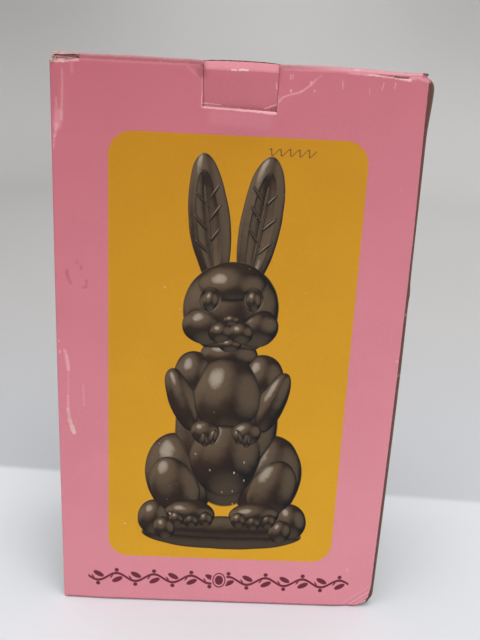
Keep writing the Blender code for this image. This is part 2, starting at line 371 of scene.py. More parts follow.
def turn(bm: bmesh.types.BMesh, edges: Sequence[bmesh.types.BMEdge], centre: Vector, angle: float,
         steps: int) -> list[bmesh.types.BMEdge]:
    """Extrude open edges along an arc about a line in the direction of X.

    Args:
        bm: The mesh that has the edges.
        edges: The edges to extrude.
        centre: A point on the line.
        angle: The arc's angle, in radians.
        steps: How many facets the arc has.

    Returns:
        The open edges at the arc's end.
    """
    verts = list(dict.fromkeys(vert for edge in edges for vert in edge.verts))
    made = bmesh.ops.spin(bm, geom=verts + list(edges), cent=centre, axis=(1, 0, 0), angle=angle,
                          steps=steps, use_merge=False)["geom_last"]
    return [part for part in made if isinstance(part, bmesh.types.BMEdge)]


def face_towards(bm: bmesh.types.BMesh, direction: Vector) -> None:
    """Make a sheet's faces agree, and point the way that most of its area should."""
    bmesh.ops.recalc_face_normals(bm, faces=bm.faces[:])
    share = sum(part.normal.dot(direction) * part.calc_area() for part in bm.faces)
    if share < 0:
        bmesh.ops.reverse_faces(bm, faces=bm.faces[:])


def give_form(bm: bmesh.types.BMesh, moved: Callable[[Vector], Vector]) -> None:
    """Move every vertex from its place on the plain shape to its place on the real one."""
    for vert in bm.verts:
        vert.co = moved(vert.co.copy())


def give_mesh_form(piece: bpy.types.Object, moved: Callable[[Vector], Vector]) -> None:
    """Move every vertex of a finished piece in the same way."""
    for vert in piece.data.vertices:
        vert.co = moved(vert.co.copy())
    piece.data.update()


def new_piece(name: str, bm: bmesh.types.BMesh, materials: Sequence[bpy.types.Material]) -> bpy.types.Object:
    """Turn a mesh into a piece that rides on the carton.

    Args:
        name: The piece's name.
        bm: The mesh, which is freed.
        materials: The piece's materials, in the order of its slots.

    Returns:
        The new object.
    """
    mesh = bpy.data.meshes.new(name)
    bm.to_mesh(mesh)
    bm.free()
    for material in materials:
        mesh.materials.append(material)
    mesh.shade_smooth()
    piece = bpy.data.objects.new(name, mesh)
    bpy.context.scene.collection.objects.link(piece)
    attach(piece, BODY)
    return piece


def board_piece(name: str, bm: bmesh.types.BMesh, finishes: BoardFinishes) -> bpy.types.Object:
    """Make a sheet of board with thickness from its printed face.

    Args:
        name: The piece's name.
        bm: The printed face, which is freed.
        finishes: The materials of its face, raw edges and inner face.

    Returns:
        The new object.
    """
    piece = new_piece(name, bm, finishes.slots())
    wall = piece.modifiers.new("board", "SOLIDIFY")
    wall.thickness = SIZES.board
    wall.offset = -1
    wall.use_even_offset = True
    wall.use_quality_normals = True
    wall.thickness_clamp = 0.0
    wall.material_offset = 2
    wall.material_offset_rim = 1
    solid = bpy.data.meshes.new_from_object(piece.evaluated_get(bpy.context.evaluated_depsgraph_get()))
    piece.modifiers.clear()
    piece.data = solid
    solid.shade_smooth()
    solid.set_sharp_from_angle(angle=SHARP_ANGLE)
    LOG.info("%s: %d faces", name, len(solid.polygons))
    return piece


@dataclass(frozen=True)
class Sleeve:
    """The sleeve: front, back and side panels, their dust flaps and the pocket behind the tab."""

    panel_pitch: float = 8 * MM
    front_pitch: float = 4 * MM
    fine_pitch: float = 1 * MM
    corner_facets: int = 6
    tab_margin: float = 26 * MM
    wall: float = 0.12 * MM
    pocket_depth: float = 3.2 * MM
    slit_low: float = 23.2 * MM
    slit_high: float = 22.6 * MM
    slit_slant: float = 0.5 * MM
    slit_fade: float = 6 * MM
    lip_round: float = 0.8 * MM
    lip_turn: float = 0.5 * MM
    side_top: float = 2.0 * MM
    front_base: float = 0.2 * MM
    side_base: float = 1.2 * MM
    back_base: float = 2.0 * MM
    base_blend: float = 6 * MM
    square_foot: float = 0.25
    foot_bow: float = 0.8 * MM
    foot_fade: float = 45 * MM
    torn_drop: float = -0.3 * MM
    torn_rise: float = 0.9 * MM
    torn_ragged: float = 0.2 * MM
    even_drop: float = -0.3 * MM
    worn_drop: float = 1.8 * MM
    bend_start: float = 90 * MM
    bend_low: float = 329 * MM
    top_blend: float = 12 * MM
    flap_reach: float = 14 * MM
    joint_low: float = -97.9 * MM
    joint_high: float = -97.3 * MM
    picture_half: float = 57 * MM
    picture_low: float = 37 * MM
    picture_high: float = 292 * MM
    picture_out: float = 58 * MM
    face_skin: float = 0.05 * MM
    inside_back: float = 0.4 * MM

    def build(self, finishes: BoardFinishes, picture: bpy.types.Material) -> bpy.types.Object:
        """Make the sleeve.

        Args:
            finishes: The materials of its board.
            picture: The printed face's material where the pictures lie.

        Returns:
            The sleeve's object.
        """
        bm = bmesh.new()
        top = SIZES.height - self.side_top
        shape = Matrix.Diagonal((SIZES.width, SIZES.depth, top, 1))
        bmesh.ops.create_cube(bm, size=1, matrix=Matrix.Translation((0, 0, top / 2)) @ shape)
        ends = [part for part in bm.faces if abs(part.normal.z) > 0.5]
        bmesh.ops.delete(bm, geom=ends, context="FACES")
        upright = [edge for edge in bm.edges if abs(edge.verts[0].co.z - edge.verts[1].co.z) > EPSILON]
        bmesh.ops.bevel(bm, geom=upright, offset=SIZES.corner_radius, offset_type="OFFSET", affect="EDGES",
                        segments=self.corner_facets, profile=0.5, material=-1)
        self.divide_panels(bm, top)
        self.open_slits(bm)
        self.add_flaps(bm, top)
        give_form(bm, self.formed)
        bmesh.ops.recalc_face_normals(bm, faces=bm.faces[:])
        sleeve = board_piece("sleeve", bm, finishes)
        give_mesh_form(sleeve, self.kept_behind)
        self.place_picture(sleeve, picture)
        return sleeve

    def kept_behind(self, p: Vector) -> Vector:
        """At the bent right corner the board's inside stays behind its printed face."""
        if p.x > self.bend_start and p.z > self.bend_low and p.y < SIZES.front - self.face_skin:
            p.y = SIZES.front + self.inside_back
        return p

    def place_picture(self, sleeve: bpy.types.Object, picture: bpy.types.Material) -> None:
        """Give the printed faces within the pictures their own material."""
        sleeve.data.materials.append(picture)
        for part in sleeve.data.polygons:
            x, y, z = part.center
            within = abs(x) < self.picture_half and self.picture_low < z < self.picture_high
            if part.material_index == 0 and within and abs(part.normal.y) > 0.9 and abs(y) > self.picture_out:
                part.material_index = len(sleeve.data.materials) - 1

    def divide_panels(self, bm: bmesh.types.BMesh, top: float) -> None:
        """Cut the panels finely enough to take their form, finest by the tab and the crushed corner."""
        flat = SIZES.half_width - SIZES.corner_radius
        back = spaced(-flat, flat, self.panel_pitch) + [self.joint_low, self.joint_high]
        divide(bm, Axis.X, sorted(back), lambda centre: centre.y > SIZES.half_depth - EPSILON)
        divide(bm, Axis.X, self.front_columns(flat), lambda centre: centre.y < SIZES.front + EPSILON)
        near = spaced(SIZES.front + SIZES.corner_radius, SIZES.front + 16 * MM, 1.7 * MM)
        far = spaced(SIZES.front + 16 * MM, SIZES.half_depth - SIZES.corner_radius, self.panel_pitch)
        divide(bm, Axis.Y, near + [SIZES.front + 16 * MM] + far)
        divide(bm, Axis.Z, self.rows(top))

    def front_columns(self, flat: float) -> list[float]:
        """Where the front is cut into columns."""
        edge_left = SIZES.tab_left - SIZES.tab_gap
        edge_right = SIZES.tab_right + SIZES.tab_gap
        marks = [-flat + 12 * MM, SIZES.slit_left_end - 0.5 * MM, SIZES.slit_left_end,
                 -self.tab_margin - 4 * MM, edge_left - self.wall, edge_left, edge_right,
                 edge_right + self.wall, 48 * MM, 72 * MM]
        places = list(marks)
        places += spaced(-flat, marks[0], 1.0 * MM)
        places += spaced(marks[2], marks[3], self.front_pitch)
        places += spaced(marks[3], marks[4], self.fine_pitch)
        places += spaced(marks[5], marks[6], self.fine_pitch)
        places += spaced(marks[7], marks[8], self.fine_pitch)
        places += spaced(marks[8], marks[9], self.front_pitch)
        places += spaced(marks[9], flat, 1.2 * MM)
        return sorted(places)

    def rows(self, top: float) -> list[float]:
        """Where all panels are cut into rows."""
        low_end = 30 * MM
        high_start = SIZES.height - 34 * MM
        slit = [SIZES.height - drop * MM for drop in (24.0, 23.5, 23.2, 22.6)]
        roll = [SIZES.height - drop * MM for drop in (6.2, 5.5, 4.7, 3.7, 3.0, 2.6, 2.3)]
        base = [value * MM for value in (0.6, 1.2, 1.8, 2.4, 3.3)]
        places = base + spaced(3.3 * MM, low_end, 1.25 * MM) + [low_end]
        places += spaced(low_end, high_start, self.front_pitch) + [high_start]
        places += spaced(high_start, SIZES.height - 24.6 * MM, self.fine_pitch)
        places += [SIZES.height - 24.6 * MM] + slit + [SIZES.height - 22 * MM]
        places += spaced(SIZES.height - 22 * MM, SIZES.height - 6.8 * MM, self.fine_pitch)
        return places + [SIZES.height - 6.8 * MM] + roll

    def inside_tab(self, x: float) -> bool:
        """Whether a place lies within the locking tab's width."""
        edge_left = SIZES.tab_left - SIZES.tab_gap
        edge_right = SIZES.tab_right + SIZES.tab_gap
        return edge_left - EPSILON < x < edge_right + EPSILON

    def open_slits(self, bm: bmesh.types.BMesh) -> None:
        """Open the tab's slit in the front, and the joint where the board's ends meet at the back."""
        low = SIZES.height - self.slit_low
        high = SIZES.height - self.slit_high
        gone = []
        for part in bm.faces:
            centre = part.calc_center_median()
            slit = centre.y < SIZES.front + EPSILON and self.inside_tab(centre.x) and low < centre.z < high
            joint = centre.y > SIZES.half_depth - EPSILON and self.joint_low < centre.x < self.joint_high
            if slit or joint:
                gone.append(part)
        bmesh.ops.delete(bm, geom=gone, context="FACES")

    def add_flaps(self, bm: bmesh.types.BMesh, top: float) -> None:
        """Fold the side panels' flaps in under the lid and over the base."""
        reach = SIZES.half_depth - SIZES.corner_radius + EPSILON
        for side in (-1, 1):
            for level in (0.0, top):
                rim = open_edges(bm, lambda co: abs(co.x - side * SIZES.half_width) < EPSILON
                                 and abs(co.z - level) < EPSILON and abs(co.y) < reach)
                pull(bm, rim, Vector((-side * self.flap_reach, 0, 0)))

    def top_drop(self, x: float) -> float:
        """How far the front's top edge lies below the side panels' top."""
        if x < SIZES.slit_left_end - 0.2 * MM:
            ragged = math.sin(x / MM * 1.9) + 0.6 * math.sin(x / MM * 4.3 + 1)
            drop = self.torn_drop - self.torn_rise * clamp((SIZES.slit_left_end - x) / (12 * MM))
            return drop + self.torn_ragged * ragged * smooth((x + 98.5 * MM) / (2 * MM))
        worn = smooth((x - 64 * MM) / (21 * MM)) * smooth((90 * MM - x) / (3 * MM))
        return self.even_drop * smooth((74 * MM - x) / (24 * MM)) + self.worn_drop * worn

    def levelled(self, p: Vector) -> Vector:
        """Bring each panel's top and bottom edge to its own height."""
        share = FORM.side_share(p)
        base = self.back_base if p.y > 0 else self.front_base
        side = self.side_base if p.x > 0 or p.y > 0 else self.front_base
        base += (side - base) * share
        up = base * max(1 - p.z / self.base_blend, 0.0)
        top = SIZES.height - self.side_top
        down = 0.0
        if p.y < 0:
            down = self.top_drop(p.x) * clamp(1 - (top - p.z) / self.top_blend)
            down *= (1 - share) if p.x > 0 else (1 - 0.5 * share)
        return Vector((0, 0, up - down))

    def pocketed(self, p: Vector) -> Vector:
        """The front lies back behind the tab, down to the slit, whose lower edge turns in and slants."""
        if not self.inside_tab(p.x):
            near = min(abs(p.x - SIZES.tab_left), abs(p.x - SIZES.tab_right))
            fade = smooth(1 - near / self.slit_fade)
        else:
            fade = 1.0
        low = SIZES.height - self.slit_low
        across = (p.x - SIZES.tab_left) / (SIZES.tab_right - SIZES.tab_left)
        slant = self.slit_slant * (1 - 2 * clamp(across)) * smooth(1 - abs(p.z - low) / (4 * MM)) * fade
        back = 0.0
        if self.inside_tab(p.x):
            if p.z > SIZES.height - self.slit_high - EPSILON:
                back = self.pocket_depth
            elif p.z > low - self.lip_round:
                back = self.lip_turn * (1 - (low - p.z) / self.lip_round) ** 2
        return Vector((0, back, slant))

    def based(self, p: Vector) -> Vector:
        """The side panels roll in over the base, and the front's lower edge turns in a little."""
        start = self.side_base + SIZES.base_radius
        rise = min(start - p.z * (1 - self.side_base / self.base_blend) - self.side_base, SIZES.base_radius)
        if rise <= 0:
            return Vector()
        roll = SIZES.base_radius - math.sqrt(max(SIZES.base_radius ** 2 - rise ** 2, 0.0))
        share = FORM.side_share(p)
        under = 0.45 * roll * (1 - share) if p.y < 0 else 0.0
        aside = roll * share if p.x > 0 else -self.square_foot * roll * share
        return Vector((-aside, under, 0))

    def footed(self, p: Vector) -> Vector:
        """The front stands out a little along its foot."""
        across = smooth((p.x + 94 * MM) / (20 * MM)) * smooth((86 * MM - p.x) / (12 * MM))
        return Vector((0, -self.foot_bow * across * smooth(1 - p.z / self.foot_fade), 0))

    def formed(self, p: Vector) -> Vector:
        """Where a point of the plain sleeve ends up."""
        moves = [FORM.bowed(p), FORM.rolled(p), FORM.flared(p), FORM.folded(p), FORM.crushed(p),
                 FORM.tucked(p), self.levelled(p), self.based(p)]
        if p.y < SIZES.front + EPSILON:
            moves += [FORM.lip(p), FORM.shoulders(p), self.pocketed(p), self.footed(p)]
        return p + sum(moves, Vector())


@dataclass(frozen=True)
class ClosingPanel:
    """A panel hinged at the back, whose flap tucks in behind the front: the lid, or the base."""

    name: str
    side: Side
    half_width: float
    hinge_radius: float
    crease_radius: float
    crease_behind: float
    spans: tuple[tuple[float, float], ...]
    shelf: float = 0.0
    rim_drop: float = 0.0
    pitch: float = 4 * MM
    arc_steps: int = 6
    flap_turn: float = 1.15 * MM
    flap_dive: float = 1.5 * MM
    flap_reach: float = 22 * MM
    corner_start: float = 95.5 * MM
    corner_radius: float = 4 * MM
    left_cut: float = 1.5 * MM
    right_cut: float = 0.8 * MM
    end_rise: float = 0.5
    crushed_edge: float = 0.9 * MM

    @property
    def crease_line(self) -> float:
        """Where the flat panel ends and its front crease begins, along Y."""
        return SIZES.front + self.crease_behind + self.crease_radius

    def build(self, finishes: BoardFinishes) -> bpy.types.Object:
        """Make the panel with its hinge, its front crease and its flap.

        Args:
            finishes: The materials of its board.

        Returns:
            The panel's object.
        """
        bm = bmesh.new()
        hinge_line = SIZES.half_depth - self.hinge_radius
        middle = (hinge_line + self.crease_line) / 2
        shape = Matrix.Diagonal((self.half_width, (hinge_line - self.crease_line) / 2, 1, 1))
        bmesh.ops.create_grid(bm, x_segments=1, y_segments=1, size=1,
                              matrix=Matrix.Translation((0, middle, 0)) @ shape)
        ends = [end for span in self.spans for end in span]
        columns = spaced(-self.half_width, self.half_width, self.pitch) + ends
        columns += spaced(self.corner_start, self.half_width, 1 * MM) + [self.corner_start]
        divide(bm, Axis.X, sorted(columns))
        near = self.crease_line + 12 * MM
        divide(bm, Axis.Y, spaced(self.crease_line, near, 1.5 * MM) + [near]
               + spaced(near, hinge_line, 2 * self.pitch))
        back = open_edges(bm, lambda co: abs(co.y - hinge_line) < EPSILON)
        turn(bm, back, Vector((0, hinge_line, -self.hinge_radius)), -math.pi / 2, self.arc_steps)
        for low, high in self.spans:
            rim = self.front_rim(bm, low, high)
            rim = self.creased(bm, rim)
            for move in ((self.flap_turn, -self.flap_dive), (0.2 * MM, -self.flap_reach / 3),
                         (0.0, -self.flap_reach * 2 / 3)):
                rim = pull(bm, rim, Vector((0, *move)))
        if self.shelf > 0:
            pull(bm, self.front_rim(bm, -self.half_width, self.spans[0][0]), Vector((0, -self.shelf, 0)))
            rim = self.front_rim(bm, self.spans[-1][1], self.half_width)
            rim = self.creased(bm, rim)
            pull(bm, rim, Vector((0, 0.2 * MM, -self.rim_drop)))
        self.seat(bm)
        panel = board_piece(self.name, bm, finishes)
        if self.shelf > 0:
            give_mesh_form(panel, self.edge_crushed)
        return panel

    def front_rim(self, bm: bmesh.types.BMesh, low: float, high: float) -> list[bmesh.types.BMEdge]:
        """The flat panel's open front edges between two places along X."""
        return open_edges(bm, lambda co: abs(co.y - self.crease_line) < EPSILON and abs(co.z) < EPSILON
                          and low - EPSILON < co.x < high + EPSILON)

    def creased(self, bm: bmesh.types.BMesh, rim: Sequence[bmesh.types.BMEdge]) -> list[bmesh.types.BMEdge]:
        """Bend the front rim down along the crease, and return its new open edges."""
        centre = Vector((0, self.crease_line, -self.crease_radius))
        return turn(bm, rim, centre, math.pi / 2, self.arc_steps)

    def seat(self, bm: bmesh.types.BMesh) -> None:
        """Put the panel at the top or base, facing out, and give it its form."""
        if self.side is Side.TOP:
            bmesh.ops.translate(bm, verts=bm.verts[:], vec=(0, 0, SIZES.height))
            give_form(bm, self.lid_formed)
        else:
            bmesh.ops.scale(bm, verts=bm.verts[:], vec=(1, 1, -1))
            give_form(bm, lambda p: p + FORM.crushed(p))
        face_towards(bm, Vector((0, 0, self.side.value)))

    def lid_formed(self, p: Vector) -> Vector:
        """Where a point of the flat lid ends up: its crest swells less towards the front's top edge."""
        share = 0.4 + 0.6 * clamp((p.z - SIZES.height + self.crease_radius) / self.crease_radius)
        near = clamp(1 - (p.y - SIZES.front) / (12 * MM))
        frayed = self.end_rise * smooth((p.x - 94 * MM) / (3 * MM)) * near * (SIZES.height - p.z)
        up = Vector((0, 0, FORM.crest(p) * share + frayed))
        return p + FORM.bowed(p) + FORM.lid_lift(p) + self.cornered(p) + up

    def cornered(self, p: Vector) -> Vector:
        """The right front corner is cut round, and both front ends are cut back a little."""
        past = clamp((p.x - self.corner_start) / self.corner_radius)
        cut = self.corner_radius * (1 - math.sqrt(max(1 - past ** 2, 0.0)))
        near = clamp(1 - (p.y - SIZES.front) / (12 * MM))
        back = self.left_cut * smooth((-p.x - 92 * MM) / (8 * MM)) * near
        back -= self.right_cut * smooth((p.x - 92 * MM) / (8 * MM)) * near
        return Vector((back, cut * near, 0))

    def edge_crushed(self, p: Vector) -> Vector:
        """The raw edge over the left slit is crushed thin beside the crease."""
        in_slit = p.x < SIZES.slit_left_end - EPSILON and p.y < self.crease_line + EPSILON
        underneath = p.z < SIZES.height - SIZES.board / 2 + FORM.crest(p)
        if not (in_slit and underneath):
            return p
        share = smooth((p.x - SIZES.slit_left_end + 11 * MM) / (11 * MM))
        return p + Vector((0, 0, self.crushed_edge * share))


@dataclass(frozen=True)
class GlueFlap:
    """The board's glued end, seen through the narrow joint at the back."""

    low: float = -98.4 * MM
    high: float = -82 * MM
    inside: float = 1.75 * MM
    margin: float = 6 * MM
    pitch: float = 8 * MM

    def build(self, finishes: BoardFinishes) -> bpy.types.Object:
        """Make the flap, close behind the back panel.

        Args:
            finishes: The materials of its board.

        Returns:
            The flap's object.
        """
        bm = bmesh.new()
        middle = Vector(((self.low + self.high) / 2, SIZES.half_depth - self.inside, SIZES.height / 2))
        shape = Matrix.Diagonal(((self.high - self.low) / 2, 1, SIZES.height / 2 - self.margin, 1))
        upright = Matrix.Translation(middle) @ shape @ Matrix.Rotation(math.pi / 2, 4, "X")
        bmesh.ops.create_grid(bm, x_segments=1, y_segments=1, size=1, matrix=upright)
        divide(bm, Axis.X, spaced(self.low, self.high, self.pitch))
        divide(bm, Axis.Z, spaced(self.margin, SIZES.height - self.margin, self.pitch))
        give_form(bm, lambda p: p + FORM.bowed(p))
        face_towards(bm, Vector((0, 1, 0)))
        return board_piece("glue_flap", bm, finishes)


@dataclass(frozen=True)
class LockingTab:
    """The tongue that comes from the lid over the front's top edge and goes down into the slit."""

    start: float = 2.7 * MM
    bend_back: float = 1.4 * MM
    bend_drop: float = 3.9 * MM
    proud: float = 1.0 * MM
    sunk: float = 1.4 * MM
    end_sunk: float = 2.6 * MM
    end_drop: float = 30 * MM
    pitch: float = 2 * MM
    bend_width: float = 0.7 * MM
    crown: float = 0.25 * MM

    def build(self, finishes: BoardFinishes) -> bpy.types.Object:
        """Make the tongue.

        Args:
            finishes: The materials of its board.

        Returns:
            The tongue's object.
        """
        bm = bmesh.new()
        ends = [bm.verts.new((x, SIZES.front + self.start, SIZES.height))
                for x in (SIZES.tab_left, SIZES.tab_right)]
        rim = [bm.edges.new(ends)]
        face = self.proud + self.sunk
        fall = SIZES.tab_drop - self.bend_drop
        legs = ((self.bend_back - self.start, 0.0, 1),
                (-(self.bend_back + self.proud), -self.bend_drop, 2), (face, -fall, 8),
                (self.end_sunk - self.sunk, -(self.end_drop - SIZES.tab_drop), 3))
        for back, down, count in legs:
            for _ in range(count):
                rim = pull(bm, rim, Vector((0, back / count, down / count)))
        divide(bm, Axis.X, spaced(SIZES.tab_left, SIZES.tab_right, self.pitch))
        bends = [edge for edge in bm.edges if self.is_bend(edge)]
        bmesh.ops.bevel(bm, geom=bends, offset=self.bend_width, offset_type="OFFSET", affect="EDGES",
                        segments=3, profile=0.5, material=-1)
        give_form(bm, lambda p: p + FORM.bowed(p) + self.crowned(p) + self.crested(p))
        face_towards(bm, Vector((0, -1, 0)))
        return board_piece("locking_tab", bm, finishes)

    def is_bend(self, edge: bmesh.types.BMEdge) -> bool:
        """Whether an edge lies on one of the two bends at the top."""
        level = [SIZES.height, SIZES.height - self.bend_drop]
        place = [SIZES.front + self.bend_back, SIZES.front - self.proud]
        return any(all(abs(vert.co.z - z) < EPSILON and abs(vert.co.y - y) < EPSILON for vert in edge.verts)
                   for z, y in zip(level, place))

    def crested(self, p: Vector) -> Vector:
        """The tongue's top follows the lid's crest."""
        return Vector((0, 0, FORM.crest(p) * smooth((p.z - SIZES.height + 9 * MM) / (8 * MM))))

    def crowned(self, p: Vector) -> Vector:
        """The tongue's face is a little rounded across."""
        middle = (SIZES.tab_left + SIZES.tab_right) / 2
        across = math.cos(math.pi * (p.x - middle) / (SIZES.tab_right - SIZES.tab_left))
        down = smooth((SIZES.height - p.z) / (8 * MM)) * smooth((p.z - SIZES.height + 26 * MM) / (8 * MM))
        return Vector((0, -self.crown * max(across, 0.0) * down, 0))


@dataclass(frozen=True)
class TabShadeLine:
    """A dark broken ridge along the tongue's first bend: painted shade standing in for the shadow gap there.
    """

    radius: float = 0.42 * MM
    behind: float = 2.2 * MM
    overhang: float = 0.6 * MM
    pitch: float = 1.2 * MM
    seed: int = 4

    def build(self, finish: bpy.types.Material) -> bpy.types.Object:
        """Make the ridge.

        Args:
            finish: The dark ridge's material, which paints the shade.

        Returns:
            The ridge's object.
        """
        low = SIZES.tab_left - self.overhang
        high = SIZES.tab_right + self.overhang
        bm = bmesh.new()
        bmesh.ops.create_cone(bm, cap_ends=True, segments=10, radius1=self.radius, radius2=self.radius,
                              depth=high - low, matrix=Matrix.Rotation(math.pi / 2, 4, "Y"))
        divide(bm, Axis.X, spaced((low - high) / 2, (high - low) / 2, self.pitch))
        draw = random.Random(self.seed)
        stations: dict[float, tuple[float, float]] = {}
        for vert in sorted(bm.verts, key=lambda item: (round(item.co.x, 7), item.co.y, item.co.z)):
            key = round(vert.co.x, 6)
            if key not in stations:
                stations[key] = (draw.uniform(0.75, 1.15), draw.uniform(-0.12, 0.12) * MM)
            size, sway = stations[key]
            taper = 0.35 + 0.65 * smooth(((high - low) / 2 - abs(vert.co.x)) / (4 * MM))
            vert.co.y = vert.co.y * size * taper + sway
            vert.co.z = vert.co.z * size * taper
        bmesh.ops.translate(bm, verts=bm.verts[:],
                            vec=((low + high) / 2, SIZES.front + self.behind, SIZES.height))
        give_form(bm, lambda p: p + Vector((0, 0, FORM.crest(p))))
        return new_piece("tab_score", bm, [finish])


@dataclass(frozen=True)
class Strip:
    """One ragged strip of paper in front view, in millimetres: its ends and its width."""

    start: Point2
    end: Point2
    width: float


@dataclass(frozen=True)
class TornPaper:
    """Crumpled scraps of paper at the left slit, where the front's corner is torn; also dark strips set
    behind the front as painted shade in the slits.
    """

    name: str
    strips: tuple[Strip, ...]
    proud: float
    nub: bool = False
    thickness: float = 0.35 * MM
    step: float = 0.45
    nub_place: tuple[float, float, float] = (-99.55, -59.35, 330.35)
    nub_half: tuple[float, float, float] = (1.25, 0.95, 1.15)
    seed: int = 7

    def build(self, finish: bpy.types.Material) -> bpy.types.Object:
        """Make the strips, and the crumpled nub where one is wanted.

        Args:
            finish: The paper's material.

        Returns:
            The scraps' object.
        """
        draw = random.Random(self.seed)
        bm = bmesh.new()
        for strip in self.strips:
            self.add_strip(bm, draw, strip)
        give_form(bm, lambda p: p + FORM.folded(p))
        if self.nub:
            for vert in bmesh.ops.create_icosphere(bm, subdivisions=2, radius=1)["verts"]:
                rough = draw.uniform(0.8, 1.15)
                vert.co = Vector([(at + half * co * rough) * MM
                                  for at, half, co in zip(self.nub_place, self.nub_half, vert.co)])
        bmesh.ops.recalc_face_normals(bm, faces=bm.faces[:])
        return new_piece(self.name, bm, [finish])

    def add_strip(self, bm: bmesh.types.BMesh, draw: random.Random, strip: Strip) -> None:
        """Add one ragged strip, upright beside the front panel's face."""
        count = max(round(abs(strip.end[0] - strip.start[0]) / self.step), 2)
        rows = []
        for index in range(count + 1):
            share = index / count
            half = strip.width / 2 * (0.35 + 0.65 * math.sin(math.pi * (0.1 + 0.8 * share)))
            x = strip.start[0] + (strip.end[0] - strip.start[0]) * share
            z = strip.start[1] + (strip.end[1] - strip.start[1]) * share
            levels = [(z + side * half * draw.uniform(0.6, 1.3)) * MM for side in (-1, 1)]
            rows.append([bm.verts.new((x * MM, SIZES.front - self.proud, level)) for level in levels])
        faces = [bm.faces.new((near[0], far[0], far[1], near[1])) for near, far in zip(rows, rows[1:])]
        grown = bmesh.ops.extrude_face_region(bm, geom=faces)["geom"]
        moved = [part for part in grown if isinstance(part, bmesh.types.BMVert)]
        bmesh.ops.translate(bm, verts=moved, vec=(0, self.thickness, 0))


@dataclass(frozen=True)
class Studio:
    """A pale bowl of a floor, soft lights and the photograph's camera."""

    level: float = -0.1 * MM
    flat_radius: float = 1.9
    rise: float = 0.9
    wall_height: float = 1.6
    lens: float = 41.625
    camera_place: tuple[float, float, float] = (-0.0042, -0.4672, 0.3215)
    camera_turn: tuple[float, float, float] = (72.59, -2.72, -0.478)

    def build(self, floor_finish: bpy.types.Material) -> None:
        """Set up the floor, the lights, the world and the camera."""
        self.build_floor(floor_finish)
        self.build_lights()
        self.build_world()
        self.build_camera()

    def build_floor(self, finish: bpy.types.Material) -> None:
        """A disc that curves up at its rim."""
        bm = bmesh.new()
        start = bm.verts.new((0, 0, self.level))
        end = bm.verts.new((self.flat_radius, 0, self.level))
        bm.edges.new((start, end))
        centre = (self.flat_radius, 0, self.level + self.rise)
        arc = bmesh.ops.spin(bm, geom=[end], cent=centre, axis=(0, 1, 0), angle=-math.pi / 2, steps=16,
                             use_merge=False)["geom_last"]
        top = [part for part in arc if isinstance(part, bmesh.types.BMVert)]
        bmesh.ops.extrude_vert_indiv(bm, verts=top)
        highest = [vert for vert in bm.verts if not vert.is_boundary and len(vert.link_edges) == 1]
        last = max(highest, key=lambda vert: vert.index if vert.index >= 0 else 10 ** 6)
        last.co.z += self.wall_height
        bmesh.ops.spin(bm, geom=bm.verts[:] + bm.edges[:], cent=(0, 0, 0), axis=(0, 0, 1),
                       angle=2 * math.pi, steps=96, use_merge=True)
        bmesh.ops.remove_doubles(bm, verts=bm.verts[:], dist=0.1 * MM)
        face_towards(bm, Vector((0, 0, 1)))
        mesh = bpy.data.meshes.new("studio_floor")
        bm.to_mesh(mesh)
        bm.free()
        mesh.materials.append(finish)
        mesh.shade_smooth()
        floor = bpy.data.objects.new("studio_floor", mesh)
        bpy.context.scene.collection.objects.link(floor)

    def build_lights(self) -> None:
        """A soft key from the upper right, a top light and a weak fill from the left."""
        self.area_light("key", (1.0, -1.6, 1.9), (0, -0.03, 0.16), 1.6, 15.5)
        self.area_light("top", (0.05, -0.4, 2.3), (0, -0.15, 0.0), 2.0, 30)
        self.area_light("fill", (-1.5, -1.3, 1.4), (0, 0, 0.15), 1.6, 8)

    def area_light(self, name: str, place: tuple[float, float, float], target: tuple[float, float, float],
                   size: float, power: float) -> None:
        """Put a square soft light at a place, turned towards a target."""
        data = bpy.data.lights.new(name, "AREA")
        data.shape = "SQUARE"
        data.size = size
        data.energy = power
        lamp = bpy.data.objects.new(name, data)
        lamp.location = place
        aim = Vector(target) - Vector(place)
        lamp.rotation_euler = aim.to_track_quat("-Z", "Y").to_euler()
        bpy.context.scene.collection.objects.link(lamp)

    def build_world(self) -> None:
        """An even pale surround."""
        world = bpy.data.worlds.new("studio")
        world.use_nodes = True
        background = world.node_tree.nodes["Background"]
        background.inputs["Color"].default_value = (0.94, 0.96, 1.0, 1)
        background.inputs["Strength"].default_value = 0.55
        bpy.context.scene.world = world

    def build_camera(self) -> None:
        """The photograph's viewpoint, solved on the front's corners and edges."""
        data = bpy.data.cameras.new("camera")
        data.sensor_width = 36
        data.lens = self.lens
        data.clip_start = 0.01
        camera = bpy.data.objects.new("camera", data)
        camera.location = self.camera_place
        camera.rotation_euler = Euler([math.radians(angle) for angle in self.camera_turn], "XYZ")
        bpy.context.scene.collection.objects.link(camera)
        bpy.context.scene.camera = camera
        bpy.context.scene.view_settings.view_transform = "Standard"


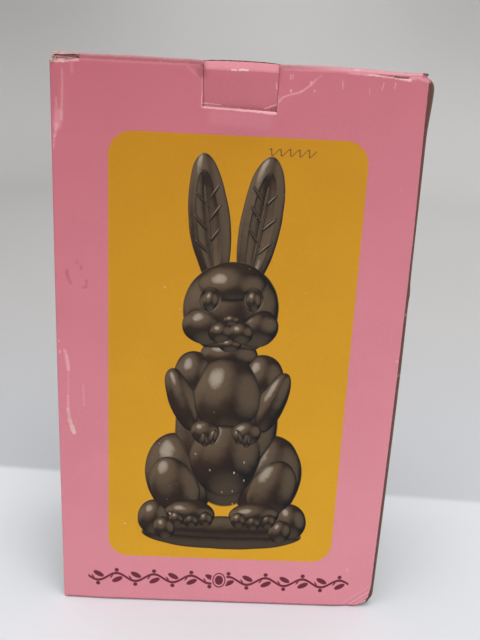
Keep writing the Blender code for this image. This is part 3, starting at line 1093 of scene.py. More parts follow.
class Value:
    """A number or vector in a node tree, which takes arithmetic as plain numbers do."""

    def __init__(self, sheet: "NodeSheet", socket: bpy.types.NodeSocket) -> None:
        """Keep the socket, and the sheet that further nodes go into."""
        self.sheet = sheet
        self.socket = socket

    def work(self, operation: str, *others: "Feed") -> "Value":
        """Work out a number or a vector, whichever this is, from this and others."""
        if self.socket.type == "VALUE":
            return self.sheet.maths(operation, self, *others)
        return self.sheet.vector(operation, self, *others)

    def __add__(self, other: "Feed") -> "Value":
        """The sum."""
        return self.work("ADD", other)

    def __sub__(self, other: "Feed") -> "Value":
        """The difference."""
        return self.work("SUBTRACT", other)

    def __rsub__(self, other: float) -> "Value":
        """A plain number less this one."""
        return self.sheet.maths("SUBTRACT", other, self)

    def __mul__(self, other: "Feed") -> "Value":
        """The product; a vector times a number is scaled."""
        single = other.socket.type == "VALUE" if isinstance(other, Value) else not isinstance(other, tuple)
        if self.socket.type == "VALUE" or not single:
            return self.work("MULTIPLY", other)
        node = self.sheet.add("VectorMath", self, operation="SCALE", Scale=other)
        return Value(self.sheet, node.outputs[0])

    def __truediv__(self, other: "Feed") -> "Value":
        """The quotient."""
        return self.work("DIVIDE", other)

    def __neg__(self) -> "Value":
        """The number with its sign changed."""
        return self * -1.0

    def __abs__(self) -> "Value":
        """The number without its sign."""
        return self.work("ABSOLUTE")

    def __lt__(self, other: "Feed") -> "Value":
        """One where this is the smaller, otherwise zero."""
        return self.work("LESS_THAN", other)

    def __gt__(self, other: "Feed") -> "Value":
        """One where this is the greater, otherwise zero."""
        return self.work("GREATER_THAN", other)

    def line(self, slope: "Feed", start: "Feed") -> "Value":
        """This times a slope, plus a start."""
        return self.work("MULTIPLY_ADD", slope, start)

    def most(self, other: "Feed") -> "Value":
        """The greater of two."""
        return self.work("MAXIMUM", other)

    def least(self, other: "Feed") -> "Value":
        """The smaller of two."""
        return self.work("MINIMUM", other)

    def ease(self, low: "Feed", high: "Feed") -> "Value":
        """Rises smoothly from 0 at one value to 1 at another, or falls where the first is higher."""
        node = self.sheet.add("MapRange", self, low, high, interpolation_type="SMOOTHSTEP")
        return Value(self.sheet, node.outputs[0])

    def dot(self, other: "Feed") -> "Value":
        """The scalar product with a vector."""
        return self.work("DOT_PRODUCT", other)

    def length(self) -> "Value":
        """The vector's length."""
        return self.work("LENGTH")

    def unit(self) -> "Value":
        """The vector's direction."""
        return self.work("NORMALIZE")

    def spun(self, angle: "Feed") -> "Value":
        """The vector turned about Z."""
        node = self.sheet.add("VectorRotate", self, rotation_type="Z_AXIS", Angle=angle)
        return Value(self.sheet, node.outputs[0])

    def parts(self) -> tuple["Value", "Value", "Value"]:
        """The vector's three numbers."""
        x, y, z = self.sheet.add("SeparateXYZ", self).outputs
        return Value(self.sheet, x), Value(self.sheet, y), Value(self.sheet, z)


Feed = Union[Value, float, tuple]


class NodeSheet:
    """Short ways to lay nodes in one tree."""

    def __init__(self, tree: bpy.types.NodeTree) -> None:
        """Keep the tree that the nodes go into."""
        self.tree = tree

    def add(self, kind: str, *feeds: Feed, **named: object) -> bpy.types.Node:
        """Add a node.

        Args:
            kind: The kind of shader node.
            feeds: Values for its first inputs.
            named: Its settings, in small letters, and then values for inputs by name.

        Returns:
            The node.
        """
        node = self.tree.nodes.new("ShaderNode" + kind)
        for name, value in named.items():
            if name.islower():
                setattr(node, name, value)
            else:
                self.feed(node.inputs[name.replace("_", " ")], value)
        for socket, value in zip(node.inputs, feeds):
            self.feed(socket, value)
        return node

    def feed(self, socket: bpy.types.NodeSocket, value: Feed) -> None:
        """Link a socket, or set its value."""
        if isinstance(value, Value):
            self.tree.links.new(value.socket, socket)
        elif isinstance(value, tuple) and socket.type == "RGBA":
            socket.default_value = (*value[:3], 1.0)
        else:
            socket.default_value = value

    def maths(self, operation: str, *values: Feed) -> Value:
        """A number worked out from others."""
        return Value(self, self.add("Math", *values, operation=operation).outputs[0])

    def vector(self, operation: str, *values: Feed) -> Value:
        """A vector, a length or a product worked out from vectors."""
        single = operation in ("LENGTH", "DOT_PRODUCT", "DISTANCE")
        node = self.add("VectorMath", *values, operation=operation)
        return Value(self, node.outputs["Value" if single else "Vector"])

    def blend(self, share: Feed, low: Feed, high: Feed, kind: str = "RGBA") -> Value:
        """A mix of two values, of the kind FLOAT, VECTOR or RGBA."""
        place = ("FLOAT", "VECTOR", "RGBA").index(kind)
        node = self.add("Mix", share, data_type=kind)
        self.feed(node.inputs[2 * place + 2], low)
        self.feed(node.inputs[2 * place + 3], high)
        return Value(self, node.outputs[place])

    def noise(self, point: Feed, scale: float, detail: float = 2.0, roughness: float = 0.5) -> Value:
        """Cloudy noise between about 0 and 1."""
        node = self.add("TexNoise", point, Scale=scale, Detail=detail, Roughness=roughness)
        return Value(self, node.outputs[0])

    def drift(self, point: Feed, scale: float, reach: float, detail: float = 2.0) -> Value:
        """A vector that wanders about zero, by up to half the reach each way."""
        node = self.add("TexNoise", point, Scale=scale, Detail=detail)
        return (Value(self, node.outputs["Color"]) - (0.5, 0.5, 0.5)) * reach

    def join(self, x: Feed, y: Feed, z: Feed) -> Value:
        """A vector of three numbers."""
        return Value(self, self.add("CombineXYZ", x, y, z).outputs[0])

    def group(self, tree: bpy.types.NodeTree, **values: Feed) -> dict[str, Value]:
        """Use a group, with a value for each of its inputs, and return its outputs by name."""
        node = self.add("Group", node_tree=tree, **values)
        return {socket.name: Value(self, socket) for socket in node.outputs}

    def place(self) -> Value:
        """The shading point in the object's own metres."""
        return Value(self, self.add("TexCoord").outputs["Object"])

    def bump(self, height: Value) -> Value:
        """The normal of a relief, with its height in millimetres."""
        return Value(self, self.add("Bump", Distance=MM, Height=height).outputs["Normal"])


def new_material(name: str) -> tuple[bpy.types.Material, NodeSheet, bpy.types.Node]:
    """Start a material, and return it with its sheet and its shader."""
    material = bpy.data.materials.new(name)
    material.use_nodes = True
    return material, NodeSheet(material.node_tree), material.node_tree.nodes["Principled BSDF"]


def new_group(name: str, inputs: dict[str, str], outputs: dict[str, str]
              ) -> tuple[NodeSheet, dict[str, Value], bpy.types.Node]:
    """Start a node group.

    Args:
        name: The group's name.
        inputs: The names of its inputs, by the kinds Float and Vector.
        outputs: The names of its outputs, in the same way.

    Returns:
        Its sheet, what it is given by name, and its output node.
    """
    tree = bpy.data.node_groups.new(name, "ShaderNodeTree")
    for way, sockets in (("INPUT", inputs), ("OUTPUT", outputs)):
        for kind, labels in sockets.items():
            for label in labels.split():
                tree.interface.new_socket(label, in_out=way, socket_type="NodeSocket" + kind)
    sheet = NodeSheet(tree)
    given = {socket.name: Value(sheet, socket) for socket in tree.nodes.new("NodeGroupInput").outputs}
    return sheet, given, tree.nodes.new("NodeGroupOutput")


@dataclass(frozen=True)
class Inks:
    """The colours of the print, in linear light, with colours for wear and for painted light and shade."""

    # painted light on the front: the first pink and yellow at its darker upper left, the second at its
    # lighter lower right
    pink: Colour = (0.445, 0.115, 0.141)
    pale_pink: Colour = (0.650, 0.240, 0.280)
    yellow: Colour = (0.42, 0.175, 0.0015)
    lit_yellow: Colour = (0.620, 0.314, 0.012)
    side: Colour = (0.112, 0.092, 0.042)
    side_rim: Colour = (0.108, 0.040, 0.033)
    maroon: Colour = (0.13, 0.018, 0.032)
    pen: Colour = (0.06, 0.035, 0.02)
    paper: Colour = (0.70, 0.52, 0.45)
    # paler for scuffs, and for painted highlights on edges that face up
    scuff_and_highlight: Colour = (0.76, 0.39, 0.42)
    crease: Colour = (0.62, 0.40, 0.37)
    # darker for stains, and for painted shade in dents, by the tab and along the foot
    dirt_and_shade: Colour = (0.25, 0.065, 0.070)
    # painted shade: the dark of a gap's shadow
    gap: Colour = (0.050, 0.018, 0.014)


class MarkKind(Enum):
    """What a mark on the front is."""

    RUBBED = "rubbed to the pale board"
    # paler: scuffs and worn edges, and painted highlights where an edge faces up
    SCUFFED = "scuffed paler"
    # darker: stains, and painted shade in dents and along the foot
    STAINED = "stained darker"
    # painted shade, where a gap's shadow falls
    OPEN = "open, and dark inside"


@dataclass(frozen=True)
class Mark:
    """A line on the front, in millimetres: worn, stained or creased, or painted shade or highlight."""

    kind: MarkKind
    start: Point2
    end: Point2
    width: float
    soft: float = 0.4
    strength: float = 1.0


def stroke_group() -> bpy.types.NodeTree:
    """A group that gives how far a point lies within a soft straight stroke."""
    sheet, given, target = new_group("stroke", {"Vector": "Point Start End", "Float": "Inner Outer"},
                                     {"Float": "Share"})
    from_start = given["Point"] - given["Start"]
    run = given["End"] - given["Start"]
    along = (from_start.dot(run) / run.dot(run)).most(0.0).least(1.0)
    away = sheet.vector("DISTANCE", from_start, run * along)
    sheet.feed(target.inputs["Share"], away.ease(given["Outer"], given["Inner"]))
    return sheet.tree


RUBBED, SCUFFED, STAINED, OPEN = MarkKind.RUBBED, MarkKind.SCUFFED, MarkKind.STAINED, MarkKind.OPEN
FRONT_MARKS = (
    # the fold that slants down the upper left edge
    Mark(RUBBED, (-93.8, 326.5), (-93.9, 317.0), 0.0, 0.9, 0.20),
    Mark(RUBBED, (-93.9, 317.0), (-94.7, 301.0), 0.1, 1.0, 0.22),
    Mark(SCUFFED, (-97.2, 312.0), (-97.4, 301.7), 0.0, 1.1, 0.24),
    Mark(SCUFFED, (-96.0, 304.5), (-97.2, 298.0), 0.8, 2.6, 0.26),
    Mark(RUBBED, (-97.2, 298.5), (-98.6, 292.5), 0.2, 1.2, 0.28),
    Mark(SCUFFED, (-98.6, 292.5), (-99.3, 286.0), 0.0, 0.9, 0.28),
    Mark(STAINED, (-97.0, 326.0), (-98.2, 310.0), 1.2, 2.0, 0.12),
    # the torn edge at the left slit, a pale run below it, and painted shade in the slit's gap
    Mark(RUBBED, (-99.4, 330.5), (-93.0, 330.9), 0.4, 0.9, 0.75),
    Mark(SCUFFED, (-93.0, 330.9), (-85.5, 331.6), 0.3, 0.9, 0.7),
    Mark(SCUFFED, (-88.6, 330.2), (-88.7, 325.6), 0.1, 1.4, 0.14),
    Mark(OPEN, (-97.0, 331.85), (-86.8, 332.0), 0.0, 0.45, 0.4),
    # the lip below the tab, paler with a painted highlight where it faces up, and the tab's own lower edge
    # above it
    Mark(SCUFFED, (-20.0, 311.2), (-1.8, 310.6), 0.35, 0.7, 0.66),
    Mark(SCUFFED, (-1.8, 310.6), (18.6, 309.4), 0.35, 0.7, 0.72),
    Mark(RUBBED, (4.0, 310.5), (18.2, 309.6), 0.0, 0.4, 0.35),
    Mark(SCUFFED, (-13.0, 306.2), (13.0, 305.4), 1.5, 5.0, 0.09),
    Mark(SCUFFED, (-20.4, 313.0), (-17.1, 312.9), 0.1, 0.4, 0.75),
    Mark(SCUFFED, (-17.1, 312.9), (-10.5, 312.3), 0.05, 0.4, 0.6),
    # the tab's two side edges, its bent strip, paler with a painted highlight, and the worn bend below
    Mark(SCUFFED, (-20.7, 326.0), (-20.6, 319.0), 0.0, 0.5, 0.3),
    Mark(SCUFFED, (-20.6, 319.0), (-20.5, 312.7), 0.15, 0.5, 0.45),
    Mark(RUBBED, (-20.6, 317.5), (-20.5, 313.5), 0.05, 0.4, 0.35),
    Mark(SCUFFED, (18.3, 324.4), (18.5, 322.2), 0.2, 0.6, 0.4),
    Mark(SCUFFED, (19.4, 318.0), (19.3, 311.0), 0.1, 0.6, 0.35),
    Mark(SCUFFED, (-17.4, 332.3), (16.6, 332.3), 1.9, 0.5, 0.22),
    Mark(SCUFFED, (-19.0, 330.1), (19.0, 330.2), 0.0, 0.4, 0.3),
    Mark(RUBBED, (-5.4, 330.1), (-3.0, 330.3), 0.2, 0.4, 0.8),
    Mark(RUBBED, (-1.4, 330.4), (2.9, 330.4), 0.2, 0.45, 0.85),
    Mark(SCUFFED, (12.8, 311.7), (18.9, 313.9), 0.05, 0.5, 0.65),
    # painted shade in the small triangle at the tab's lower right corner
    Mark(STAINED, (16.4, 311.6), (18.6, 312.5), 0.4, 0.8, 0.45),
    # the dented triangle to the left of the tab, darkened with painted shade
    Mark(STAINED, (-21.2, 331.6), (-21.0, 327.5), 1.0, 3.6, 0.50),
    Mark(STAINED, (-21.4, 332.0), (-26.6, 332.4), 0.4, 2.6, 0.42),
    Mark(SCUFFED, (-28.4, 331.2), (-21.4, 324.4), 0.0, 1.5, 0.13),
    # the slanting crease to the right of the tab
    Mark(SCUFFED, (19.0, 314.3), (22.1, 317.9), 0.05, 0.8, 0.40),
    Mark(SCUFFED, (22.1, 317.9), (25.1, 319.2), 0.05, 0.8, 0.40),
    Mark(SCUFFED, (25.1, 319.2), (30.9, 320.6), 0.1, 0.8, 0.40),
    Mark(SCUFFED, (30.9, 320.6), (36.3, 324.7), 0.1, 0.8, 0.40),
    Mark(SCUFFED, (36.3, 324.7), (39.0, 327.9), 0.0, 0.8, 0.36),
    Mark(SCUFFED, (39.0, 327.9), (42.0, 330.0), 0.0, 0.8, 0.18),
    Mark(SCUFFED, (31.2, 321.0), (31.5, 321.6), 0.2, 0.7, 0.5),
    Mark(SCUFFED, (36.4, 325.2), (36.7, 326.0), 0.3, 0.7, 0.55),
    # the front's top edge, worn pale
    Mark(SCUFFED, (-84.0, 331.9), (-22.0, 331.9), 0.1, 1.1, 0.16),
    Mark(SCUFFED, (21.0, 331.9), (57.0, 332.0), 0.1, 0.9, 0.26),
    Mark(SCUFFED, (56.0, 331.8), (67.0, 331.3), 0.2, 0.9, 0.5),
    Mark(SCUFFED, (66.0, 331.4), (74.0, 331.0), 0.1, 0.7, 0.75),
    Mark(SCUFFED, (74.0, 331.0), (82.5, 330.3), 0.2, 0.8, 0.75),
    Mark(SCUFFED, (82.5, 330.3), (88.5, 329.6), 0.4, 0.8, 0.9),
    Mark(SCUFFED, (88.0, 330.6), (93.5, 331.3), 0.3, 0.9, 0.5),
    Mark(RUBBED, (67.0, 331.2), (71.5, 331.0), 0.1, 0.5, 0.65),
    Mark(RUBBED, (78.0, 330.6), (80.5, 330.4), 0.1, 0.5, 0.55),
    Mark(RUBBED, (83.5, 330.1), (87.5, 329.7), 0.1, 0.5, 0.7),
    Mark(SCUFFED, (89.6, 330.9), (91.0, 330.7), 0.3, 1.3, 0.35),
    Mark(SCUFFED, (93.5, 330.6), (98.8, 329.4), 0.3, 0.9, 0.42),
    Mark(SCUFFED, (59.0, 333.4), (61.2, 333.2), 0.1, 0.5, 0.6),
    # painted shade in the gaps near the lid's right end
    Mark(OPEN, (95.2, 333.0), (98.6, 332.6), 0.3, 0.45, 0.85),
    Mark(OPEN, (97.0, 332.2), (98.6, 331.9), 0.3, 0.5, 0.8),
    Mark(OPEN, (85.7, 333.1), (86.5, 333.1), 0.1, 0.35, 0.5),
    # short ticks below the right half of the top edge
    Mark(SCUFFED, (25.4, 329.4), (25.6, 327.0), 0.05, 0.4, 0.5),
    Mark(SCUFFED, (26.6, 329.4), (26.7, 327.6), 0.0, 0.4, 0.45),
    Mark(SCUFFED, (26.0, 321.6), (26.1, 321.2), 0.25, 0.5, 0.7),
    Mark(SCUFFED, (38.5, 321.9), (38.6, 321.6), 0.15, 0.5, 0.55),
    Mark(SCUFFED, (52.9, 328.0), (53.3, 323.5), 0.0, 0.5, 0.38),
    Mark(SCUFFED, (67.3, 324.3), (67.5, 321.9), 0.0, 0.5, 0.28),
    Mark(SCUFFED, (74.6, 327.6), (73.9, 324.0), 0.0, 0.5, 0.45),
    Mark(SCUFFED, (80.9, 327.9), (80.6, 325.2), 0.05, 0.5, 0.45),
    # the long scratch down the left, with a fainter one beside it
    Mark(SCUFFED, (-99.4, 176.9), (-99.3, 176.4), 0.1, 0.7, 0.5),
    Mark(SCUFFED, (-98.9, 170.6), (-98.8, 169.4), 0.1, 0.8, 0.5),
    Mark(SCUFFED, (-95.9, 171.0), (-95.0, 167.5), 0.3, 1.1, 0.38),
    Mark(SCUFFED, (-95.0, 167.5), (-94.0, 159.0), 0.4, 1.1, 0.55),
    Mark(SCUFFED, (-94.2, 157.0), (-94.5, 144.0), 0.1, 1.0, 0.18),
    Mark(SCUFFED, (-94.7, 142.6), (-94.7, 141.6), 0.3, 0.9, 0.40),
    Mark(SCUFFED, (-94.7, 140.0), (-94.7, 133.0), 0.3, 1.1, 0.36),
    Mark(RUBBED, (-94.8, 133.5), (-94.0, 126.5), 0.3, 1.2, 0.40),
    Mark(RUBBED, (-94.0, 126.5), (-92.8, 122.6), 0.5, 1.2, 0.52),
    Mark(RUBBED, (-92.8, 122.6), (-91.7, 118.4), 0.7, 1.1, 0.68),
    Mark(SCUFFED, (-85.5, 149.5), (-85.4, 136.6), 0.1, 1.3, 0.18),
    # small stains
    Mark(STAINED, (-93.6, 218.8), (-93.3, 215.2), 0.3, 1.2, 0.45),
    Mark(STAINED, (-93.3, 215.2), (-91.6, 211.4), 0.2, 1.2, 0.38),
    Mark(STAINED, (-82.7, 213.5), (-82.8, 210.2), 0.2, 0.9, 0.36),
    Mark(STAINED, (-82.8, 209.8), (-84.6, 209.4), 0.3, 0.9, 0.40),
    Mark(STAINED, (-85.7, 221.6), (-85.6, 220.2), 0.3, 1.0, 0.35),
    Mark(STAINED, (-87.9, 224.0), (-87.8, 223.5), 0.3, 0.9, 0.25),
    Mark(RUBBED, (-38.4, 212.0), (-38.1, 211.4), 0.25, 0.4, 0.5),
    # flecks low on the picture, a scuff and a nick on the right
    Mark(RUBBED, (-60.9, 56.9), (-60.6, 56.5), 0.3, 0.4, 0.6),
    Mark(RUBBED, (-32.8, 65.4), (-32.4, 64.9), 0.3, 0.4, 0.6),
    Mark(RUBBED, (-17.8, 107.6), (-17.7, 107.0), 0.2, 0.4, 0.45),
    Mark(RUBBED, (-8.7, 97.0), (-8.6, 96.4), 0.15, 0.4, 0.5),
    Mark(RUBBED, (6.3, 95.7), (6.4, 95.1), 0.25, 0.4, 0.7),
    Mark(RUBBED, (12.0, 103.1), (12.1, 102.5), 0.2, 0.4, 0.45),
    Mark(RUBBED, (12.5, 90.6), (12.6, 90.0), 0.3, 0.4, 0.55),
    Mark(RUBBED, (5.6, 82.9), (5.7, 82.3), 0.15, 0.4, 0.45),
    Mark(RUBBED, (6.1, 74.0), (6.2, 73.4), 0.2, 0.4, 0.4),
    Mark(RUBBED, (-0.8, 82.1), (-0.7, 81.5), 0.15, 0.4, 0.4),
    Mark(SCUFFED, (82.4, 28.6), (82.5, 27.0), 0.2, 0.9, 0.50),
    Mark(SCUFFED, (98.7, 172.7), (98.8, 172.2), 0.2, 0.6, 0.55),
    # the crushed corner's slanting creases
    Mark(SCUFFED, (82.0, 2.6), (97.4, 15.4), 0.1, 1.0, 0.22),
    Mark(STAINED, (84.2, 2.2), (97.6, 13.4), 0.0, 0.8, 0.20),
    Mark(SCUFFED, (86.4, 2.0), (97.6, 11.6), 0.1, 0.8, 0.34),
    Mark(STAINED, (88.4, 2.0), (97.4, 9.8), 0.0, 0.7, 0.24),
    Mark(SCUFFED, (90.2, 2.2), (97.2, 8.4), 0.1, 0.7, 0.38),
    Mark(STAINED, (92.4, 2.4), (97.0, 6.6), 0.0, 0.6, 0.20),
    Mark(RUBBED, (94.2, 3.0), (96.2, 4.4), 0.3, 0.8, 0.75),
    # the shaded lower edge
    Mark(STAINED, (-97.6, 0.5), (88.0, 0.5), 0.6, 0.8, 0.62),
    Mark(STAINED, (88.0, 0.5), (93.4, 1.7), 0.4, 0.7, 0.55),
)


@dataclass(frozen=True)
class PrintSpot:
    """Where a shading point lies on the carton, in millimetres.

    It says whether the point lies on the front, or on the front or back, and gives its place in that panel's
    print, which runs to the right as the panel is looked at.
    """

    point: Value
    x: Value
    y: Value
    z: Value
    front: Value
    panel: Value
    across: Value
    plane: Value

    @classmethod
    def of(cls, sheet: NodeSheet) -> "PrintSpot":
        """Read the place from the object's own coordinates."""
        point = sheet.place() * (1000.0, 1000.0, 1000.0)
        x, y, z = point.parts()
        across = x * (0.0 - sheet.maths("SIGN", y))
        return cls(point, x, y, z, y < -54.0, abs(y) > 56.5, across, sheet.join(across, z, 0.0))


class LobeKind(Enum):
    """Whether a lobe of the picture's figure stands out or is pressed in."""

    RAISED = "raised"
    SUNK = "sunk"


@dataclass(frozen=True)
class Lobe:
    """One rounded form of the picture's figure, in millimetres, mirrored where it is off the middle."""

    place: Point2
    half: tuple[float, float, float]
    base: float = 0.0
    tilt: float = 0.0
    kind: LobeKind = LobeKind.RAISED
    soft: float = 1.2


SUNK = LobeKind.SUNK
SUNK_BASE = 200.0
FIGURE_LOBES = (
    # ears
    Lobe((14, 250), (11.5, 38, 8), -6, 8),
    Lobe((14.6, 249), (6.6, 30, 5), 0, 8, SUNK),
    Lobe((14.4, 247), (1.3, 24, 2), 2, 8),
    Lobe((11.8, 267), (1.0, 5.5, 1.7), 1.5, -30),
    Lobe((11.4, 255), (1.1, 6.5, 1.8), 1.5, -32),
    Lobe((11.2, 242), (1.1, 6.5, 1.8), 1.5, -32),
    Lobe((18.4, 262), (1.0, 6.0, 1.7), 1.5, 44),
    Lobe((18.2, 249), (1.1, 6.5, 1.8), 1.5, 46),
    Lobe((17.2, 236), (1.1, 6.0, 1.8), 1.5, 46),
    # plinth
    Lobe((0, 51), (51, 11, 14), -2),
    Lobe((0, 56), (46, 8.5, 6), 8),
    # body
    Lobe((27, 92), (21, 30, 20), 0, 10),
    Lobe((0, 125), (31, 54, 26), 0),
    Lobe((0, 108), (23, 30, 26), 8),
    Lobe((0, 143), (22, 29, 24), 9),
    Lobe((20, 158), (13, 16, 14), 6),
    Lobe((30, 84), (15, 22, 12), 14, 16),
    # feet with their toes
    Lobe((20, 66), (16, 9.5, 14), 18, -6),
    Lobe((10.5, 62), (5, 5.6, 6), 27),
    Lobe((19.5, 60.8), (5, 5.6, 6), 27),
    Lobe((28.5, 62), (5, 5.6, 6), 26),
    # arms and paws
    Lobe((25, 141), (9, 24, 12), 12, 24),
    Lobe((12, 122), (9.5, 8, 8), 26, -20),
    Lobe((7.5, 119.5), (2.6, 5, 3), 33, -14),
    Lobe((13, 117.8), (2.6, 5, 3), 32, 4),
    # head
    Lobe((0, 172), (17, 12, 16), 4),
    Lobe((0, 200), (28, 28, 26), 4),
    Lobe((0, 213), (20, 15, 20), 12),
    Lobe((14, 190), (14, 12, 14), 16),
    Lobe((5.8, 186.5), (8, 7, 10), 24),
    Lobe((0, 178.8), (7, 5, 8), 22),
    Lobe((0, 194), (4.6, 3.3, 5), 34),
    Lobe((12.6, 206), (6.2, 7.6, 4), 26, -10, SUNK),
    Lobe((12.6, 205.4), (4.7, 6.2, 5.5), 27, -8),
    # eggs beside the feet
    Lobe((43, 62.5), (10, 13, 12), 12, -12),
    Lobe((36.5, 54.5), (7, 8.5, 8), 24, 8),
)


def lobe_group() -> bpy.types.NodeTree:
    """A group that lays one rounded form over those before it, by height."""
    state = {"Vector": "Normal", "Float": "Height Cover Crease"}
    sheet, given, target = new_group(
        "lobe", {"Vector": "Point Centre Half Normal",
                 "Float": "Tilt Base Soft Sign Lift Height Cover Crease"}, state)
    half, lift = given["Half"], given["Lift"]
    local = (given["Point"] - given["Centre"]).spun(given["Tilt"])
    unit = local / half
    rise = sheet.maths("SQRT", (1.0 - unit.dot(unit)).most(0.0))
    depth = half.parts()[2]
    inside = rise.ease(0.02, 0.24)
    slant = (unit / half) * given["Sign"]
    facing = (slant + sheet.join(0.0, 0.0, rise / depth)).unit().spun(-given["Tilt"])
    over = rise.line(depth, given["Base"]) - given["Height"]
    share = over.ease(-given["Soft"], given["Soft"]) * inside
    covered = inside * lift
    bent = facing.dot(given["Normal"]).ease(0.97, 0.72)
    meets = abs(over).ease(2.4, 0.0) * bent
    edge = rise.ease(0.36, 0.08) * share
    results = {"Normal": sheet.blend(share, given["Normal"], facing, "VECTOR"),
               "Height": over.line(share * lift, given["Height"]),
               "Cover": given["Cover"].most(covered),
               "Crease": (given["Crease"] * (1.0 - share)).most(meets.most(edge) * covered)}
    for name, result in results.items():
        sheet.feed(target.inputs[name], result)
    return sheet.tree


@dataclass(frozen=True)
class Figure:
    """The panel's picture: a generic chocolate bunny on a round plinth, with eggs beside its feet."""

    dark: Colour = (0.0020, 0.0010, 0.0006)
    warm: Colour = (0.028, 0.0117, 0.0047)
    light: Colour = (0.158, 0.108, 0.062)
    shine: Colour = (0.42, 0.35, 0.27)
    light_from: tuple[float, float, float] = (-0.50, 0.55, 0.67)
    gleam_from: tuple[float, float, float] = (-0.36, 0.44, 0.82)
    second_from: tuple[float, float, float] = (0.62, 0.16, 0.77)
    bounce_from: tuple[float, float, float] = (0.10, -0.80, 0.59)
    rim_from: tuple[float, float, float] = (-0.88, 0.22, 0.42)
    sway: float = 1.6

    def painted(self, sheet: NodeSheet, spot: PrintSpot, colour: Value) -> Value:
        """Lay the figure over the panel's colour.

        Args:
            sheet: The sheet of the material.
            spot: The point's place on the carton.
            colour: The colour beneath.

        Returns:
            The colour with the figure.
        """
        u, w, _ = (spot.plane + sheet.drift(spot.plane, 0.028, 2 * self.sway)).parts()
        normal, cover, crease = self.modelled(sheet, sheet.join(abs(u), w, 0.0))
        nx, ny, nz = normal.parts()
        facing = sheet.join(nx * sheet.maths("SIGN", u), ny, nz)
        return sheet.blend(cover * spot.panel, colour, self.shaded(sheet, spot, facing, crease))

    def modelled(self, sheet: NodeSheet, point: Value) -> tuple[Value, Value, Value]:
        """Lay the lobes one over another, and return the normal, the cover and the creases."""
        group = bpy.data.node_groups.get("lobe") or lobe_group()
        state: dict[str, Feed] = {"Normal": (0.0, 0.0, 1.0), "Height": -60.0, "Cover": 0.0, "Crease": 0.0}
        for lobe in FIGURE_LOBES:
            raised = lobe.kind is LobeKind.RAISED
            state = sheet.group(group, Point=point, Centre=(*lobe.place, 0.0), Half=lobe.half,
                                Tilt=math.radians(lobe.tilt), Base=lobe.base if raised else SUNK_BASE,
                                Soft=lobe.soft, Sign=1.0 if raised else -1.0, Lift=1.0 if raised else 0.0,
                                **state)
        return state["Normal"], state["Cover"], state["Crease"]

    def shaded(self, sheet: NodeSheet, spot: PrintSpot, facing: Value, crease: Value) -> Value:
        """The dark chocolate's tones, lit from the upper left as in a studio picture."""
        facing = (facing + sheet.drift(spot.plane, 0.22, 0.18, 3.0)).unit()
        tone = sheet.blend(facing.dot(self.light_from).ease(-0.1, 1.1), self.dark, self.warm)
        for source, low, strength, colour in (
                (self.gleam_from, 0.74, 0.60, self.light), (self.gleam_from, 0.955, 0.66, self.shine),
                (self.second_from, 0.84, 0.46, self.light), (self.bounce_from, 0.76, 0.28, self.light),
                (self.rim_from, 0.88, 0.50, self.light)):
            tone = sheet.blend(facing.dot(source).ease(low, 1.0) * strength, tone, colour)
        return sheet.blend(crease * 0.75, tone, self.dark)


